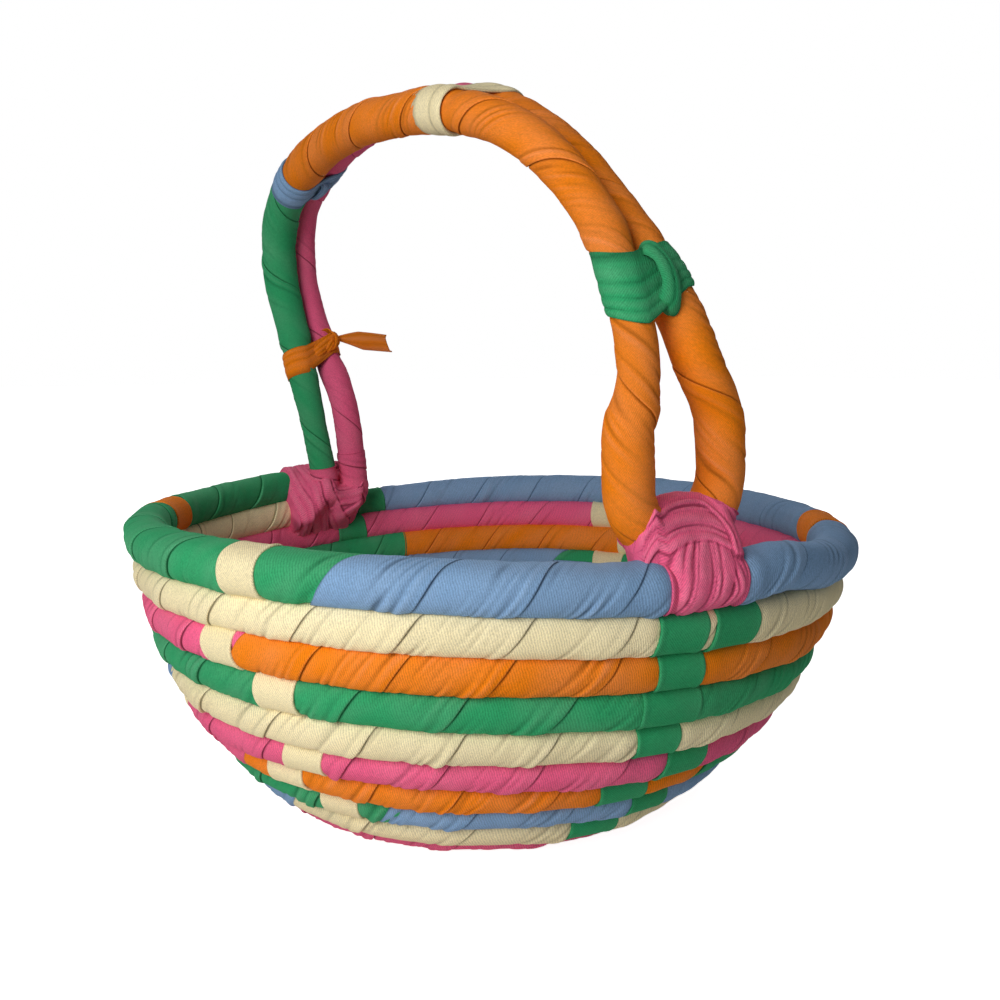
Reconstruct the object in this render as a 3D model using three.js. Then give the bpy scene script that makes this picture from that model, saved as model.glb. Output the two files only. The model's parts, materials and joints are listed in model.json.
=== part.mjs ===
// Coiled rag basket with a lashed rope handle. Millimetres, +Z up, standing on z = 0.
// One wrapped rope winds from the middle of the base to the rim, and a wrapped rope loop is its handle.
import * as THREE from "three";

// Coil: the core rope, the rag wrapped round it, and how the rows lie.
// Turns are counted down the coil, from its end at the rim to its start in the middle of the base.
const RIM_RADIUS = 150;
const RIM_END_AZIMUTH = 184;
const RIM_SHIFT = 9;
const RIM_SADDLE = 2.6;
const RIM_SADDLE_AZIMUTH = 124;
const RIM_EXTRA_WRAP = 1.1;
const RIM_THINS_FROM_TURN = 0.9;
const LASHED_RIM_LIFT = 3.5;
const LASHED_RIM_AZIMUTH = 7;
const LASHED_RIM_REACH = 10;
const CORE_HALF_HEIGHT = 4.8;
const CORE_HALF_WIDTH = 5.4;
const WRAP_WALL = 1.8;
const FIT_GAP = 0.3;
const ROW_GAP = 0.4;
const WALL_TURNS = 11;
const INNER_TURN_RADIUS = 9;
const WALL_STEPS = 20;
const INNER_STEPS = 10;
const INNER_TURNS = 2;
// The wall's lean from upright, in degrees, at these turns.
const WALL_LEAN = [
  [0, 10],
  [2, 16],
  [4, 23],
  [6, 41],
  [8, 42],
  [WALL_TURNS, 90],
];

// Ties: rag strips wound round one row, pressed into the wrap.
const TIE_WALL = 0.45;
const TIE_WIDTH = 17.5;
const RIM_BAND_WIDTH = 22;
const FRONT_LASHING_WIDTH = 31;
const FRONT_LASHING_BESIDE_FOOT = 5;
const BACK_LASHING_WIDTH = 27;
const BACK_LASHING_FROM_END = 2.7;

// Handle: a wrapped rope loop, leaning to one side about the line through its lashings.
const HANDLE_Y = -5;
const HANDLE_RISE = 173;
const HANDLE_LEAN = 8;
const ROPE_RADIUS = 5.6;
const ROPE_WRAP_WALL = 2;
const FRONT_BEND_RADIUS = 21;
const BACK_BEND_RADIUS = 8.6;
const FRONT_BEND_INSET = 12;
const FOOT_CLEARANCE = 0.4;
const FRONT_SEAT_ROOM = 1.8;
const BACK_FOOT_DROP = 8;
const SWAY_ROOM = 2;
const BAND_WALL = 1.6;
const NEAR_WRAP_BEND_STEPS = 2;
const LASHED_STRAND_BACK = 18;
const HANDLE_STEP = 22;
const BEND_STEPS = 6;
const KNOT_HALF = [4, 7, 9];
const TAIL_KNOT_HALF = [5, 5, 7];
const TAIL_LENGTH = 30;
const TAIL_WIDTH = 11;
const TAIL_ROOT_WIDTH = 6;
const TAIL_FORK_DEPTH = 5.5;
const TAIL_DROOP = 12;
const TAIL_THICKNESS = 1.4;

const COLOURS = {
  green: 0x2f9d66,
  blue: 0x80a4cc,
  cream: 0xf4e6ba,
  pink: 0xe85e8c,
  orange: 0xf07c16,
  rope: 0xcdb98c,
};

// The colour of each run of wrap, with the turn where it starts.
const WALL_RUNS = [
  ["wrap_green_1", "green", 0],
  ["wrap_blue_1", "blue", 0.338],
  ["wrap_cream_2", "cream", 0.99],
  ["wrap_pink_2", "pink", 1.615],
  ["wrap_orange_3", "orange", 2.3],
  ["wrap_green_3", "green", 2.954],
  ["wrap_blue_4", "blue", 3.825],
  ["wrap_cream_5", "cream", 4.21],
  ["wrap_pink_6", "pink", 5.21],
  ["wrap_orange_7", "orange", 6.26],
  ["wrap_green_7", "green", 6.512],
  ["wrap_blue_8", "blue", 7.342],
  ["wrap_cream_9", "cream", 8.266],
  ["wrap_pink_10", "pink", 9.2],
];
// The base's runs share what is left of the coil, from this turn on.
const BASE_RUNS_FROM_TURN = 10.2;
const BASE_RUNS = [
  ["wrap_orange_11", "orange"],
  ["wrap_green_12", "green"],
  ["wrap_blue_13", "blue"],
  ["wrap_cream_14", "cream"],
];
// Ties on the rows, with the turn at the middle of each.
const ROW_TIES = [
  ["tie_cream_1", "cream", 0.306],
  ["tie_green_back_1", "green", 0.977],
  ["tie_green_2a", "green", 1.461],
  ["tie_green_2b", "green", 1.485],
  ["tie_cream_back_2", "cream", 1.8136],
  ["tie_green_back_2", "green", 1.992],
  ["tie_cream_3", "cream", 2.287],
  ["tie_green_3", "green", 2.465],
  ["tie_cream_back_3", "cream", 2.79],
  ["tie_cream_4", "cream", 3.312],
  ["tie_green_4", "green", 3.465],
  ["tie_cream_back_4", "cream", 3.807],
  ["tie_green_5", "green", 4.465],
  ["tie_cream_6", "cream", 5.314],
  ["tie_green_6", "green", 5.487],
  ["tie_cream_7", "cream", 6.295],
  ["tie_green_7", "green", 6.463],
  ["tie_cream_8", "cream", 7.319],
  ["tie_green_8", "green", 7.489],
  ["tie_green_9", "green", 8.463],
];
const RIM_BANDS = [
  ["band_orange_left", "orange", 0.143],
  ["band_orange_right", "orange", 0.631],
];

// The handle's route from the front lashing to the back one: along the line between the lashings and up, as
// shares of half the span and of the rise, then the half distance between its two strands and their twist.
const HANDLE_ROUTE = [
  [0.926, 0.277, 20.5, 0],
  [0.922, 0.405, 12.5, 0],
  [0.869, 0.548, 9.2, -4],
  [0.767, 0.685, 8.4, -22],
  [0.591, 0.833, 8.3, -17],
  [0.334, 0.945, 8.3, 1],
  [0, 0.999, 8.3, 9],
  [-0.34, 1.012, 8.3, 15],
  [-0.69, 0.954, 8.3, 15],
  [-0.929, 0.836, 8.3, 20],
  [-1.003, 0.663, 8.3, 22],
  [-0.955, 0.476, 8.3, 16],
  [-0.872, 0.262, 9.4, -8],
];
// Bands round both strands: the middle of each as a share of the route from the front bend, and its width.
const HANDLE_BANDS = [
  ["handle_band_green", "green", 0.139, 20],
  ["handle_band_cream", "cream", 0.354, 26],
  ["handle_band_blue", "blue", 0.637, 26],
  ["handle_band_orange", "orange", 0.863, 20],
];

const WRAP_HALF_HEIGHT = CORE_HALF_HEIGHT + FIT_GAP + WRAP_WALL;
const WRAP_HALF_WIDTH = CORE_HALF_WIDTH + FIT_GAP + WRAP_WALL;
const ROW_PITCH = 2 * WRAP_HALF_HEIGHT + ROW_GAP;
const STRAND_RADIUS = ROPE_RADIUS + FIT_GAP + ROPE_WRAP_WALL;
const rad = THREE.MathUtils.degToRad;

// Materials

const materials = Object.fromEntries(
  Object.entries(COLOURS).map(([name, color]) => [
    name,
    new THREE.MeshStandardMaterial({ color, roughness: 0.9, metalness: 0 }),
  ]),
);

// Meshes from rings of points

function orientOutward(positions, triangles) {
  const volume = triangles.reduce((sum, [a, b, c]) => {
    const [p, q, r] = [positions[a], positions[b], positions[c]];
    return sum + p.dot(q.clone().cross(r));
  }, 0);
  return volume < 0 ? triangles.map(([a, b, c]) => [a, c, b]) : triangles;
}

function geometryOf(positions, triangles) {
  const geometry = new THREE.BufferGeometry().setFromPoints(positions);
  geometry.setIndex(orientOutward(positions, triangles).flat());
  geometry.computeVertexNormals();
  return geometry;
}

// Triangles between two rings that start at these vertex numbers.
function bridge(from, to, sides) {
  return Array.from({ length: sides }, (_, i) => {
    const next = (i + 1) % sides;
    return [
      [from + i, from + next, to + next],
      [from + i, to + next, to + i],
    ];
  }).flat();
}

// Triangles along a row of rings, from the ring with this number on.
function skin(rings, first) {
  const sides = rings[0].length;
  return rings.slice(1).flatMap((_, i) => bridge((first + i) * sides, (first + i + 1) * sides, sides));
}

// A solid rope through its rings, with flat ends, or closed on itself.
function rope(rings, closed) {
  const sides = rings[0].length;
  const last = (rings.length - 1) * sides;
  const triangles = skin(rings, 0);
  if (closed) {
    triangles.push(...bridge(last, 0, sides));
  } else {
    for (let i = 1; i + 1 < sides; i++) {
      triangles.push([0, i + 1, i], [last, last + i, last + i + 1]);
    }
  }
  return geometryOf(rings.flat(), triangles);
}

// A sleeve between its outer rings and the rings of its bore, whose facets lie as the rope's do.
function sleeve(outer, bore) {
  const sides = outer[0].length;
  const boreStart = outer.length * sides;
  const boreEnd = boreStart + (bore.length - 1) * sides;
  const triangles = [
    ...skin(outer, 0),
    ...skin(bore, outer.length).map(([a, b, c]) => [a, c, b]),
    ...bridge(boreStart, 0, sides),
    ...bridge(boreStart - sides, boreEnd, sides),
  ];
  return geometryOf([...outer, ...bore].flat(), triangles);
}

function addMesh(group, name, colour, geometry) {
  const mesh = new THREE.Mesh(geometry, materials[colour]);
  mesh.name = name;
  group.add(mesh);
  return mesh;
}

// A section of six corners, with its points up and down and its flats to the sides.
function hexagon(halfWidth, halfHeight) {
  return [
    [0, halfHeight],
    [halfWidth, halfHeight / 2],
    [halfWidth, -halfHeight / 2],
    [0, -halfHeight],
    [-halfWidth, -halfHeight / 2],
    [-halfWidth, halfHeight / 2],
  ];
}

function ringAt(frame, section) {
  return section.map(([u, v]) =>
    frame.centre.clone().addScaledVector(frame.u, u).addScaledVector(frame.v, v),
  );
}

function mixFrames(a, b, share) {
  return {
    centre: a.centre.clone().lerp(b.centre, share),
    u: a.u.clone().lerp(b.u, share),
    v: a.v.clone().lerp(b.v, share),
  };
}

// The coil's frame at a turn, on the straight piece between its neighbours.
function frameAt(frames, at) {
  const next = Math.max(1, frames.findIndex((f) => f.at >= at));
  const [a, b] = [frames[next - 1], frames[next]];
  const share = (at - a.at) / (b.at - a.at);
  return {
    ...mixFrames(a, b, share),
    at,
    half: THREE.MathUtils.lerp(a.half, b.half, share),
    width: THREE.MathUtils.lerp(a.width, b.width, share),
  };
}

function framesBetween(frames, from, to, extra = []) {
  const inner = frames.filter((f) => f.at > from && f.at < to).map((f) => f.at);
  const places = [...new Set([from, ...inner, ...extra, to])].sort((a, b) => a - b);
  return places.map((at) => frameAt(frames, at));
}

// The coil's centre line

function leanAt(turn) {
  const next = WALL_LEAN.findIndex(([at]) => at > turn);
  if (next < 0) return rad(WALL_LEAN.at(-1)[1]);
  const [[t0, a0], [t1, a1]] = [WALL_LEAN[next - 1], WALL_LEAN[next]];
  return rad(THREE.MathUtils.mapLinear(turn, t0, t1, a0, a1));
}

const PROFILE_STEP = 0.01;
const profile = [{ radius: RIM_RADIUS, drop: 0 }];
while (profile.at(-1).radius > INNER_TURN_RADIUS) {
  const lean = leanAt((profile.length - 0.5) * PROFILE_STEP);
  const before = profile.at(-1);
  profile.push({
    radius: before.radius - ROW_PITCH * PROFILE_STEP * Math.sin(lean),
    drop: before.drop + ROW_PITCH * PROFILE_STEP * Math.cos(lean),
  });
}
const TURNS = (profile.length - 1) * PROFILE_STEP;
const COIL_DEPTH = profile.at(-1).drop;

function profileAt(turn) {
  const place = Math.min(turn / PROFILE_STEP, profile.length - 1.001);
  const i = Math.floor(place);
  const mix = (key) => THREE.MathUtils.lerp(profile[i][key], profile[i + 1][key], place - i);
  return { radius: mix("radius"), drop: mix("drop") };
}

function rimShare(turn) {
  return 1 - THREE.MathUtils.smoothstep(turn, RIM_THINS_FROM_TURN, 1);
}

// The middle of a row before the thick rim row is set on top of it. No corner of it dips under the base.
function rowPoint(turn) {
  const { radius, drop } = profileAt(turn);
  const lean = leanAt(turn);
  const azimuth = RIM_END_AZIMUTH + 360 * turn;
  const share = 1 - drop / COIL_DEPTH;
  const shift = RIM_SHIFT * (1 - Math.min(turn / WALL_TURNS, 1));
  const saddle = RIM_SADDLE * share * Math.cos(rad(2 * (azimuth - RIM_SADDLE_AZIMUTH)));
  const lowest = WRAP_HALF_WIDTH * Math.sin(lean) + (WRAP_HALF_HEIGHT / 2) * Math.cos(lean);
  return new THREE.Vector3(
    radius * Math.cos(rad(azimuth)),
    radius * Math.sin(rad(azimuth)) + shift,
    Math.max(lowest, WRAP_HALF_WIDTH + COIL_DEPTH - drop + saddle),
  );
}

function stepsAt(turn) {
  return turn < TURNS - INNER_TURNS ? WALL_STEPS : INNER_STEPS;
}

// Half the height that a row has between its neighbours, all but the rim's extra wrap.
function rowHalf(turn) {
  const here = rowPoint(turn);
  const spaces = [turn - 1, turn + 1]
    .filter((t) => t >= 0 && t <= TURNS)
    .map((t) => here.distanceTo(rowPoint(t)));
  return Math.min(WRAP_HALF_HEIGHT, (Math.min(...spaces) - ROW_GAP) / 2);
}

function coilFrame(turn) {
  const lean = leanAt(turn);
  const azimuth = rad(RIM_END_AZIMUTH + 360 * turn);
  const out = new THREE.Vector3(Math.cos(azimuth), Math.sin(azimuth), 0);
  const up = new THREE.Vector3(0, 0, 1);
  const share = rimShare(turn);
  const half = rowHalf(turn) + RIM_EXTRA_WRAP * share;
  const centre = rowPoint(turn);
  if (share > 0) {
    const below = rowPoint(turn + 1);
    const wanted = half + rowHalf(turn + 1) + ROW_GAP;
    const degrees = THREE.MathUtils.radToDeg(azimuth) - LASHED_RIM_AZIMUTH;
    const away = THREE.MathUtils.euclideanModulo(degrees + 180, 360) - 180;
    const pulled = LASHED_RIM_LIFT * Math.exp(-((away / LASHED_RIM_REACH) ** 2));
    centre.z += share * (Math.max(0, wanted - centre.distanceTo(below)) + pulled);
  }
  return {
    at: turn,
    centre,
    u: out.clone().multiplyScalar(Math.cos(lean)).addScaledVector(up, -Math.sin(lean)),
    v: out.clone().multiplyScalar(Math.sin(lean)).addScaledVector(up, Math.cos(lean)),
    half,
    width: WRAP_HALF_WIDTH + RIM_EXTRA_WRAP * share,
  };
}

const coil = [];
const lastStep = Math.floor((TURNS - 0.5 / INNER_STEPS) * WALL_STEPS);
for (let step = 0; step <= lastStep; step += WALL_STEPS / stepsAt(step / WALL_STEPS)) {
  coil.push(coilFrame(step / WALL_STEPS));
}
coil.push(coilFrame(TURNS));

function turnsFor(width, turn) {
  return width / (2 * Math.PI * profileAt(turn).radius);
}

function wrapSection(frame, inset = 0) {
  return hexagon(frame.width - inset, frame.half - inset);
}

// The basket: core, wraps, ties

const basket = new THREE.Group();

const coreSection = hexagon(CORE_HALF_WIDTH, CORE_HALF_HEIGHT);
const boreSection = hexagon(CORE_HALF_WIDTH + FIT_GAP, CORE_HALF_HEIGHT + FIT_GAP);
const coreRings = coil.map((frame) => ringAt(frame, coreSection));
addMesh(basket, "coil_core", "rope", rope(coreRings, false));

const footAngle = THREE.MathUtils.radToDeg(Math.asin((RIM_SHIFT - HANDLE_Y) / RIM_RADIUS));
const FRONT_FOOT_TURN = (360 - footAngle - RIM_END_AZIMUTH) / 360;
const BACK_FOOT_TURN = (180 + footAngle - RIM_END_AZIMUTH) / 360;

function tieSpan(name, colour, turn, width) {
  const half = turnsFor(width, turn) / 2;
  return { name, colour, from: turn - half, to: turn + half };
}

const frontLashing = FRONT_FOOT_TURN - turnsFor(FRONT_LASHING_BESIDE_FOOT, 0);
const backLashing = turnsFor(BACK_LASHING_FROM_END + BACK_LASHING_WIDTH / 2, 0);
const ties = [
  ...ROW_TIES.map(([name, colour, turn]) => tieSpan(name, colour, turn, TIE_WIDTH)),
  ...RIM_BANDS.map(([name, colour, turn]) => tieSpan(name, colour, turn, RIM_BAND_WIDTH)),
  tieSpan("lashing_front_rim", "pink", frontLashing, FRONT_LASHING_WIDTH),
  tieSpan("lashing_back_rim", "pink", backLashing, BACK_LASHING_WIDTH),
];

// A wrap's outer rings, drawn in under each tie that lies on it.
function wrapRings(from, to) {
  const here = ties.filter((tie) => tie.from > from && tie.to < to);
  const edges = here.flatMap((tie) => [tie.from, tie.to]);
  const groove = TIE_WALL + FIT_GAP;
  return framesBetween(coil, from, to, edges).flatMap((frame) => {
    const full = ringAt(frame, wrapSection(frame));
    const drawnIn = ringAt(frame, wrapSection(frame, groove));
    if (here.some((tie) => tie.from === frame.at)) return [full, drawnIn];
    if (here.some((tie) => tie.to === frame.at)) return [drawnIn, full];
    const under = here.some((tie) => tie.from < frame.at && frame.at < tie.to);
    return [under ? drawnIn : full];
  });
}

function addWrap(name, colour, start, end) {
  const gap = turnsFor(FIT_GAP / 2, start);
  const from = start === 0 ? 0 : start + gap;
  const to = end === TURNS ? TURNS : end - gap;
  const bore = framesBetween(coil, from, to).map((frame) => ringAt(frame, boreSection));
  addMesh(basket, name, colour, sleeve(wrapRings(from, to), bore));
}

const baseRun = (TURNS - BASE_RUNS_FROM_TURN) / BASE_RUNS.length;
const runs = [
  ...WALL_RUNS,
  ...BASE_RUNS.map(([name, colour], i) => [name, colour, BASE_RUNS_FROM_TURN + i * baseRun]),
];
runs.forEach(([name, colour, start], i) => {
  addWrap(name, colour, start, i + 1 < runs.length ? runs[i + 1][2] : TURNS);
});

for (const tie of ties) {
  const gap = turnsFor(FIT_GAP, tie.from);
  const frames = framesBetween(coil, tie.from + gap, tie.to - gap);
  const outer = frames.map((frame) => ringAt(frame, wrapSection(frame)));
  const bore = frames.map((frame) => ringAt(frame, wrapSection(frame, TIE_WALL)));
  addMesh(basket, tie.name, tie.colour, sleeve(outer, bore));
}

// The handle: its route, two strands and the bends that join them

const frontFoot = coilFrame(FRONT_FOOT_TURN);
const backFoot = coilFrame(BACK_FOOT_TURN);
const hingeHeight = (frontFoot.centre.z + backFoot.centre.z) / 2;
const halfSpan = (frontFoot.centre.x - backFoot.centre.x) / 2;
const spanMiddle = (frontFoot.centre.x + backFoot.centre.x) / 2;

// The front bend lies inside the rim's crest: its own flank is on the crest or on the rim's inner corner.
const ROPE_FLANK = Math.PI / 6;
const [rimCrest, , , , , rimShoulder] = ringAt(frontFoot, wrapSection(frontFoot));
const frontFootX = frontFoot.centre.x - FRONT_BEND_INSET;
const seatOn = (corner) => corner.z - (corner.x - frontFootX) * Math.tan(ROPE_FLANK);
const frontSeat = Math.max(seatOn(rimCrest), seatOn(rimShoulder)) + FRONT_SEAT_ROOM - hingeHeight;
const frontBendHeight = frontSeat + STRAND_RADIUS + FRONT_BEND_RADIUS;
const frontBendX = frontFootX - spanMiddle;
// The back bend hangs inside the wall, clear of the two rows that it sways beside.
const backReach = BACK_BEND_RADIUS + STRAND_RADIUS + SWAY_ROOM;
const besideBackFoot = [0, 0.5, 1].map((share) => BACK_FOOT_TURN + share * turnsFor(backReach, 0));
const backWall = Math.max(
  ...besideBackFoot
    .flatMap((turn) => [coilFrame(turn), coilFrame(turn + 1)])
    .map((frame) => frame.centre.x - frame.u.x * frame.width),
);
const backBendX = backWall - spanMiddle + FOOT_CLEARANCE + STRAND_RADIUS * Math.cos(ROPE_FLANK);
const backBendHeight = BACK_BEND_RADIUS - BACK_FOOT_DROP;

const routePoints = [
  [frontBendX, frontBendHeight, FRONT_BEND_RADIUS, 0],
  ...HANDLE_ROUTE.map(([x, h, half, twist]) => [x * halfSpan, h * HANDLE_RISE, half, twist]),
  [backBendX, backBendHeight, BACK_BEND_RADIUS, 0],
];
const route = new THREE.CatmullRomCurve3(
  routePoints.map(([x, h]) => new THREE.Vector3(x, 0, h)),
  false,
  "centripetal",
);
route.arcLengthDivisions = 2000;
const strandShape = new THREE.CatmullRomCurve3(
  routePoints.map(([, , half, twist]) => new THREE.Vector3(half, twist, 0)),
);
const ROUTE_LENGTH = route.getLength();
const SIDE = new THREE.Vector3(0, 1, 0);

// The pair of strands at a length along the route: the middle, the line between them and the way out.
function pairAt(length) {
  const share = THREE.MathUtils.clamp(length / ROUTE_LENGTH, 0, 1);
  const tangent = route.getTangentAt(share);
  const out = new THREE.Vector3(tangent.z, 0, -tangent.x);
  const shape = strandShape.getPoint(route.getUtoTmapping(share));
  const twist = rad(shape.y);
  return {
    at: length,
    centre: route.getPointAt(share),
    half: shape.x,
    u: SIDE.clone().multiplyScalar(Math.cos(twist)).addScaledVector(out, Math.sin(twist)),
    v: out.clone().multiplyScalar(Math.cos(twist)).addScaledVector(SIDE, -Math.sin(twist)),
    out,
    tangent,
  };
}

const bandSpans = HANDLE_BANDS.map(([name, colour, share, width]) => {
  const middle = share * ROUTE_LENGTH;
  return { name, colour, from: middle - width / 2, middle, to: middle + width / 2 };
});
const bandMiddle = Object.fromEntries(bandSpans.map((band) => [band.name, band.middle]));
const backLashedFrom = ROUTE_LENGTH - LASHED_STRAND_BACK;
const stops = [
  0,
  ...bandSpans.flatMap((band) => [band.from, band.middle, band.to]),
  backLashedFrom,
  ROUTE_LENGTH,
].sort((a, b) => a - b);
const stations = stops.flatMap((stop, i) => {
  if (i + 1 === stops.length) return [stop];
  const count = Math.max(1, Math.ceil((stops[i + 1] - stop) / HANDLE_STEP));
  return Array.from({ length: count }, (_, k) => stop + ((stops[i + 1] - stop) * k) / count);
});
const pairs = stations.map(pairAt);

// One strand's frame: side is 1 for the far strand and -1 for the near one.
// The pair twists, and the ropes do not.
function strandFrame(pair, side) {
  return {
    centre: pair.centre.clone().addScaledVector(pair.u, side * pair.half),
    u: pair.out,
    v: SIDE.clone().multiplyScalar(side),
  };
}

// The frames round a bend, from one strand to the other.
function bendFrames(pair, side, downward) {
  return Array.from({ length: BEND_STEPS - 1 }, (_, i) => {
    const angle = (Math.PI * (i + 1)) / BEND_STEPS;
    const v = pair.u
      .clone()
      .multiplyScalar(side * Math.cos(angle))
      .addScaledVector(downward, Math.sin(angle));
    return { centre: pair.centre.clone().addScaledVector(v, pair.half), u: pair.v, v };
  });
}

const far = pairs.map((pair) => strandFrame(pair, 1));
const near = pairs.map((pair) => strandFrame(pair, -1)).reverse();
const [firstPair, lastPair] = [pairs[0], pairs.at(-1)];
const loop = [
  ...far,
  ...bendFrames(lastPair, 1, lastPair.tangent),
  ...near,
  ...bendFrames(firstPair, -1, firstPair.tangent.clone().negate()),
];

const handle = new THREE.Group();
handle.position.set(spanMiddle, HANDLE_Y, hingeHeight);
handle.rotation.x = rad(HANDLE_LEAN);

function roundSection(radius) {
  return hexagon(radius * Math.cos(ROPE_FLANK), radius);
}

addMesh(
  handle,
  "handle_core",
  "rope",
  rope(loop.map((frame) => ringAt(frame, roundSection(ROPE_RADIUS))), true),
);

// The numbers of a station's frames in the loop, on the far strand and on the near one.
const farIndex = (length) => stations.indexOf(length);
const nearIndex = (length) => loop.length - BEND_STEPS - stations.indexOf(length);

// A rag round the loop from one frame to another, kept clear of the next rag at both ends.
function addStrandWrap(name, colour, first, last) {
  const count = (last - first + loop.length) % loop.length;
  const frames = Array.from({ length: count + 1 }, (_, i) => loop[(first + i) % loop.length]);
  const trimmed = (a, b) => mixFrames(a, b, FIT_GAP / 2 / a.centre.distanceTo(b.centre));
  const ends = [trimmed(frames[0], frames[1]), trimmed(frames.at(-1), frames.at(-2))];
  const kept = [ends[0], ...frames.slice(1, -1), ends[1]];
  const outer = kept.map((frame) => ringAt(frame, roundSection(STRAND_RADIUS)));
  const bore = kept.map((frame) => ringAt(frame, roundSection(ROPE_RADIUS + FIT_GAP)));
  addMesh(handle, name, colour, sleeve(outer, bore));
}

const creamMiddle = bandMiddle.handle_band_cream;
const blueMiddle = bandMiddle.handle_band_blue;
const nearWrapEnd = nearIndex(0) + NEAR_WRAP_BEND_STEPS;
addStrandWrap("handle_wrap_orange_far", "orange", farIndex(0), farIndex(creamMiddle));
addStrandWrap("handle_wrap_pink", "pink", farIndex(creamMiddle), farIndex(backLashedFrom));
addStrandWrap("lashing_back_loop", "pink", farIndex(backLashedFrom), nearIndex(backLashedFrom));
addStrandWrap("handle_wrap_green", "green", nearIndex(backLashedFrom), nearIndex(blueMiddle));
addStrandWrap("handle_wrap_orange_near", "orange", nearIndex(blueMiddle), nearWrapEnd);
addStrandWrap("lashing_front_loop", "pink", nearWrapEnd, farIndex(0));

// A band's section round both strands: two half rounds joined by straight sides.
const BAND_CORNERS = 5;
const BAND_TURN = Math.PI / (BAND_CORNERS - 1);
function bandSection(half, radius) {
  const corner = (centre, angle) => [centre + radius * Math.cos(angle), radius * Math.sin(angle)];
  const angles = Array.from({ length: BAND_CORNERS }, (_, i) => i * BAND_TURN - Math.PI / 2);
  return [
    ...angles.map((angle) => corner(half, angle)),
    ...angles.map((angle) => corner(-half, angle + Math.PI)),
  ];
}

const BAND_BORE = (STRAND_RADIUS + FIT_GAP) / Math.cos(BAND_TURN / 2);
const BAND_OUTER = BAND_BORE + BAND_WALL;
const BAND_FLAT = BAND_OUTER * Math.cos(BAND_TURN / 2);
for (const band of bandSpans) {
  const frames = pairs.filter((pair) => pair.at >= band.from && pair.at <= band.to);
  const outer = frames.map((pair) => ringAt(pair, bandSection(pair.half, BAND_OUTER)));
  const bore = frames.map((pair) => ringAt(pair, bandSection(pair.half, BAND_BORE)));
  addMesh(handle, band.name, band.colour, sleeve(outer, bore));
}

// A knot is an egg set on a band: out is the way it faces.
// Half its sizes are given in the order out, across, along.
function placeOnBand(mesh, pair, foot, out, height) {
  const across = pair.tangent.clone().cross(out).normalize();
  mesh.matrix.makeBasis(out, across, pair.tangent);
  mesh.matrix.setPosition(foot.clone().addScaledVector(out, height));
  mesh.matrix.decompose(mesh.position, mesh.quaternion, mesh.scale);
}

function knotGeometry(half) {
  const egg = new THREE.SphereGeometry(1, 8, 6);
  return egg.scale(...half);
}

const greenPair = pairAt(bandMiddle.handle_band_green);
const greenKnot = addMesh(handle, "handle_knot_green", "green", knotGeometry(KNOT_HALF));
placeOnBand(greenKnot, greenPair, greenPair.centre, greenPair.v, BAND_OUTER + FIT_GAP + KNOT_HALF[0]);

// The orange knot sits on the far inner flat of its band.
const orangePair = pairAt(bandMiddle.handle_band_orange);
const tailOut = orangePair.u
  .clone()
  .multiplyScalar(Math.cos(BAND_TURN / 2))
  .addScaledVector(orangePair.v, -Math.sin(BAND_TURN / 2));
const tailFoot = orangePair.centre.clone().addScaledVector(orangePair.u, orangePair.half);
const tailKnotHeight = BAND_FLAT + FIT_GAP + TAIL_KNOT_HALF[0];
const tailKnot = addMesh(handle, "handle_knot_orange", "orange", knotGeometry(TAIL_KNOT_HALF));
placeOnBand(tailKnot, orangePair, tailFoot, tailOut, tailKnotHeight);

// The loose tail beyond the knot, hanging a little and wider at its forked end.
function tailShape() {
  return new THREE.Shape([
    new THREE.Vector2(0, -TAIL_ROOT_WIDTH / 2),
    new THREE.Vector2(TAIL_LENGTH, TAIL_DROOP - TAIL_WIDTH / 2),
    new THREE.Vector2(TAIL_LENGTH - TAIL_FORK_DEPTH, TAIL_DROOP),
    new THREE.Vector2(TAIL_LENGTH, TAIL_DROOP + TAIL_WIDTH / 2),
    new THREE.Vector2(0, TAIL_ROOT_WIDTH / 2),
  ]);
}

const tailGeometry = new THREE.ExtrudeGeometry(tailShape(), { depth: TAIL_THICKNESS, bevelEnabled: false });
tailGeometry.translate(0, 0, -TAIL_THICKNESS / 2);
tailGeometry.rotateX(Math.PI / 2);
const tail = addMesh(handle, "handle_tail_orange", "orange", tailGeometry);
placeOnBand(tail, orangePair, tailFoot, tailOut, tailKnotHeight + TAIL_KNOT_HALF[0] + FIT_GAP);

// The whole part, standing on z = 0 with its box centred on the origin

const part = new THREE.Group();
part.add(basket, handle);
const box = new THREE.Box3().setFromObject(part, true);
const middle = box.getCenter(new THREE.Vector3());
part.position.set(-middle.x, -middle.y, -box.min.z);

// The coil's least distance to itself, between corners of rings that lie these turns apart.
const NEXT_ROW_FROM = 0.6;
const NEXT_ROW_TO = 1.6;
function leastGap(frames, rings) {
  let least = Infinity;
  frames.forEach((a, i) => {
    frames.forEach((b, k) => {
      if (b.at - a.at < NEXT_ROW_FROM || b.at - a.at > NEXT_ROW_TO) return;
      for (const p of rings[i]) {
        for (const q of rings[k]) {
          least = Math.min(least, p.distanceTo(q));
        }
      }
    });
  });
  return least;
}

const coilGap = leastGap(coil, coreRings);
const hinge = handle.position.clone().add(part.position).toArray();
console.log(`coil: ${TURNS.toFixed(2)} turns, least gap of its core to itself ${coilGap.toFixed(2)} mm`);
console.log(`handle: hinge at ${hinge.map((v) => v.toFixed(2))}, route ${ROUTE_LENGTH.toFixed(1)} mm`);

export default part;
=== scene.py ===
"""A coiled rag basket with a lashed rope handle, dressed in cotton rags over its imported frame."""
import json
import math
from collections import namedtuple

import bpy
import numpy as np
from bpy.props import FloatProperty, FloatVectorProperty, PointerProperty
from bpy.types import Operator, Panel, PropertyGroup
from mathutils import Matrix


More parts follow.
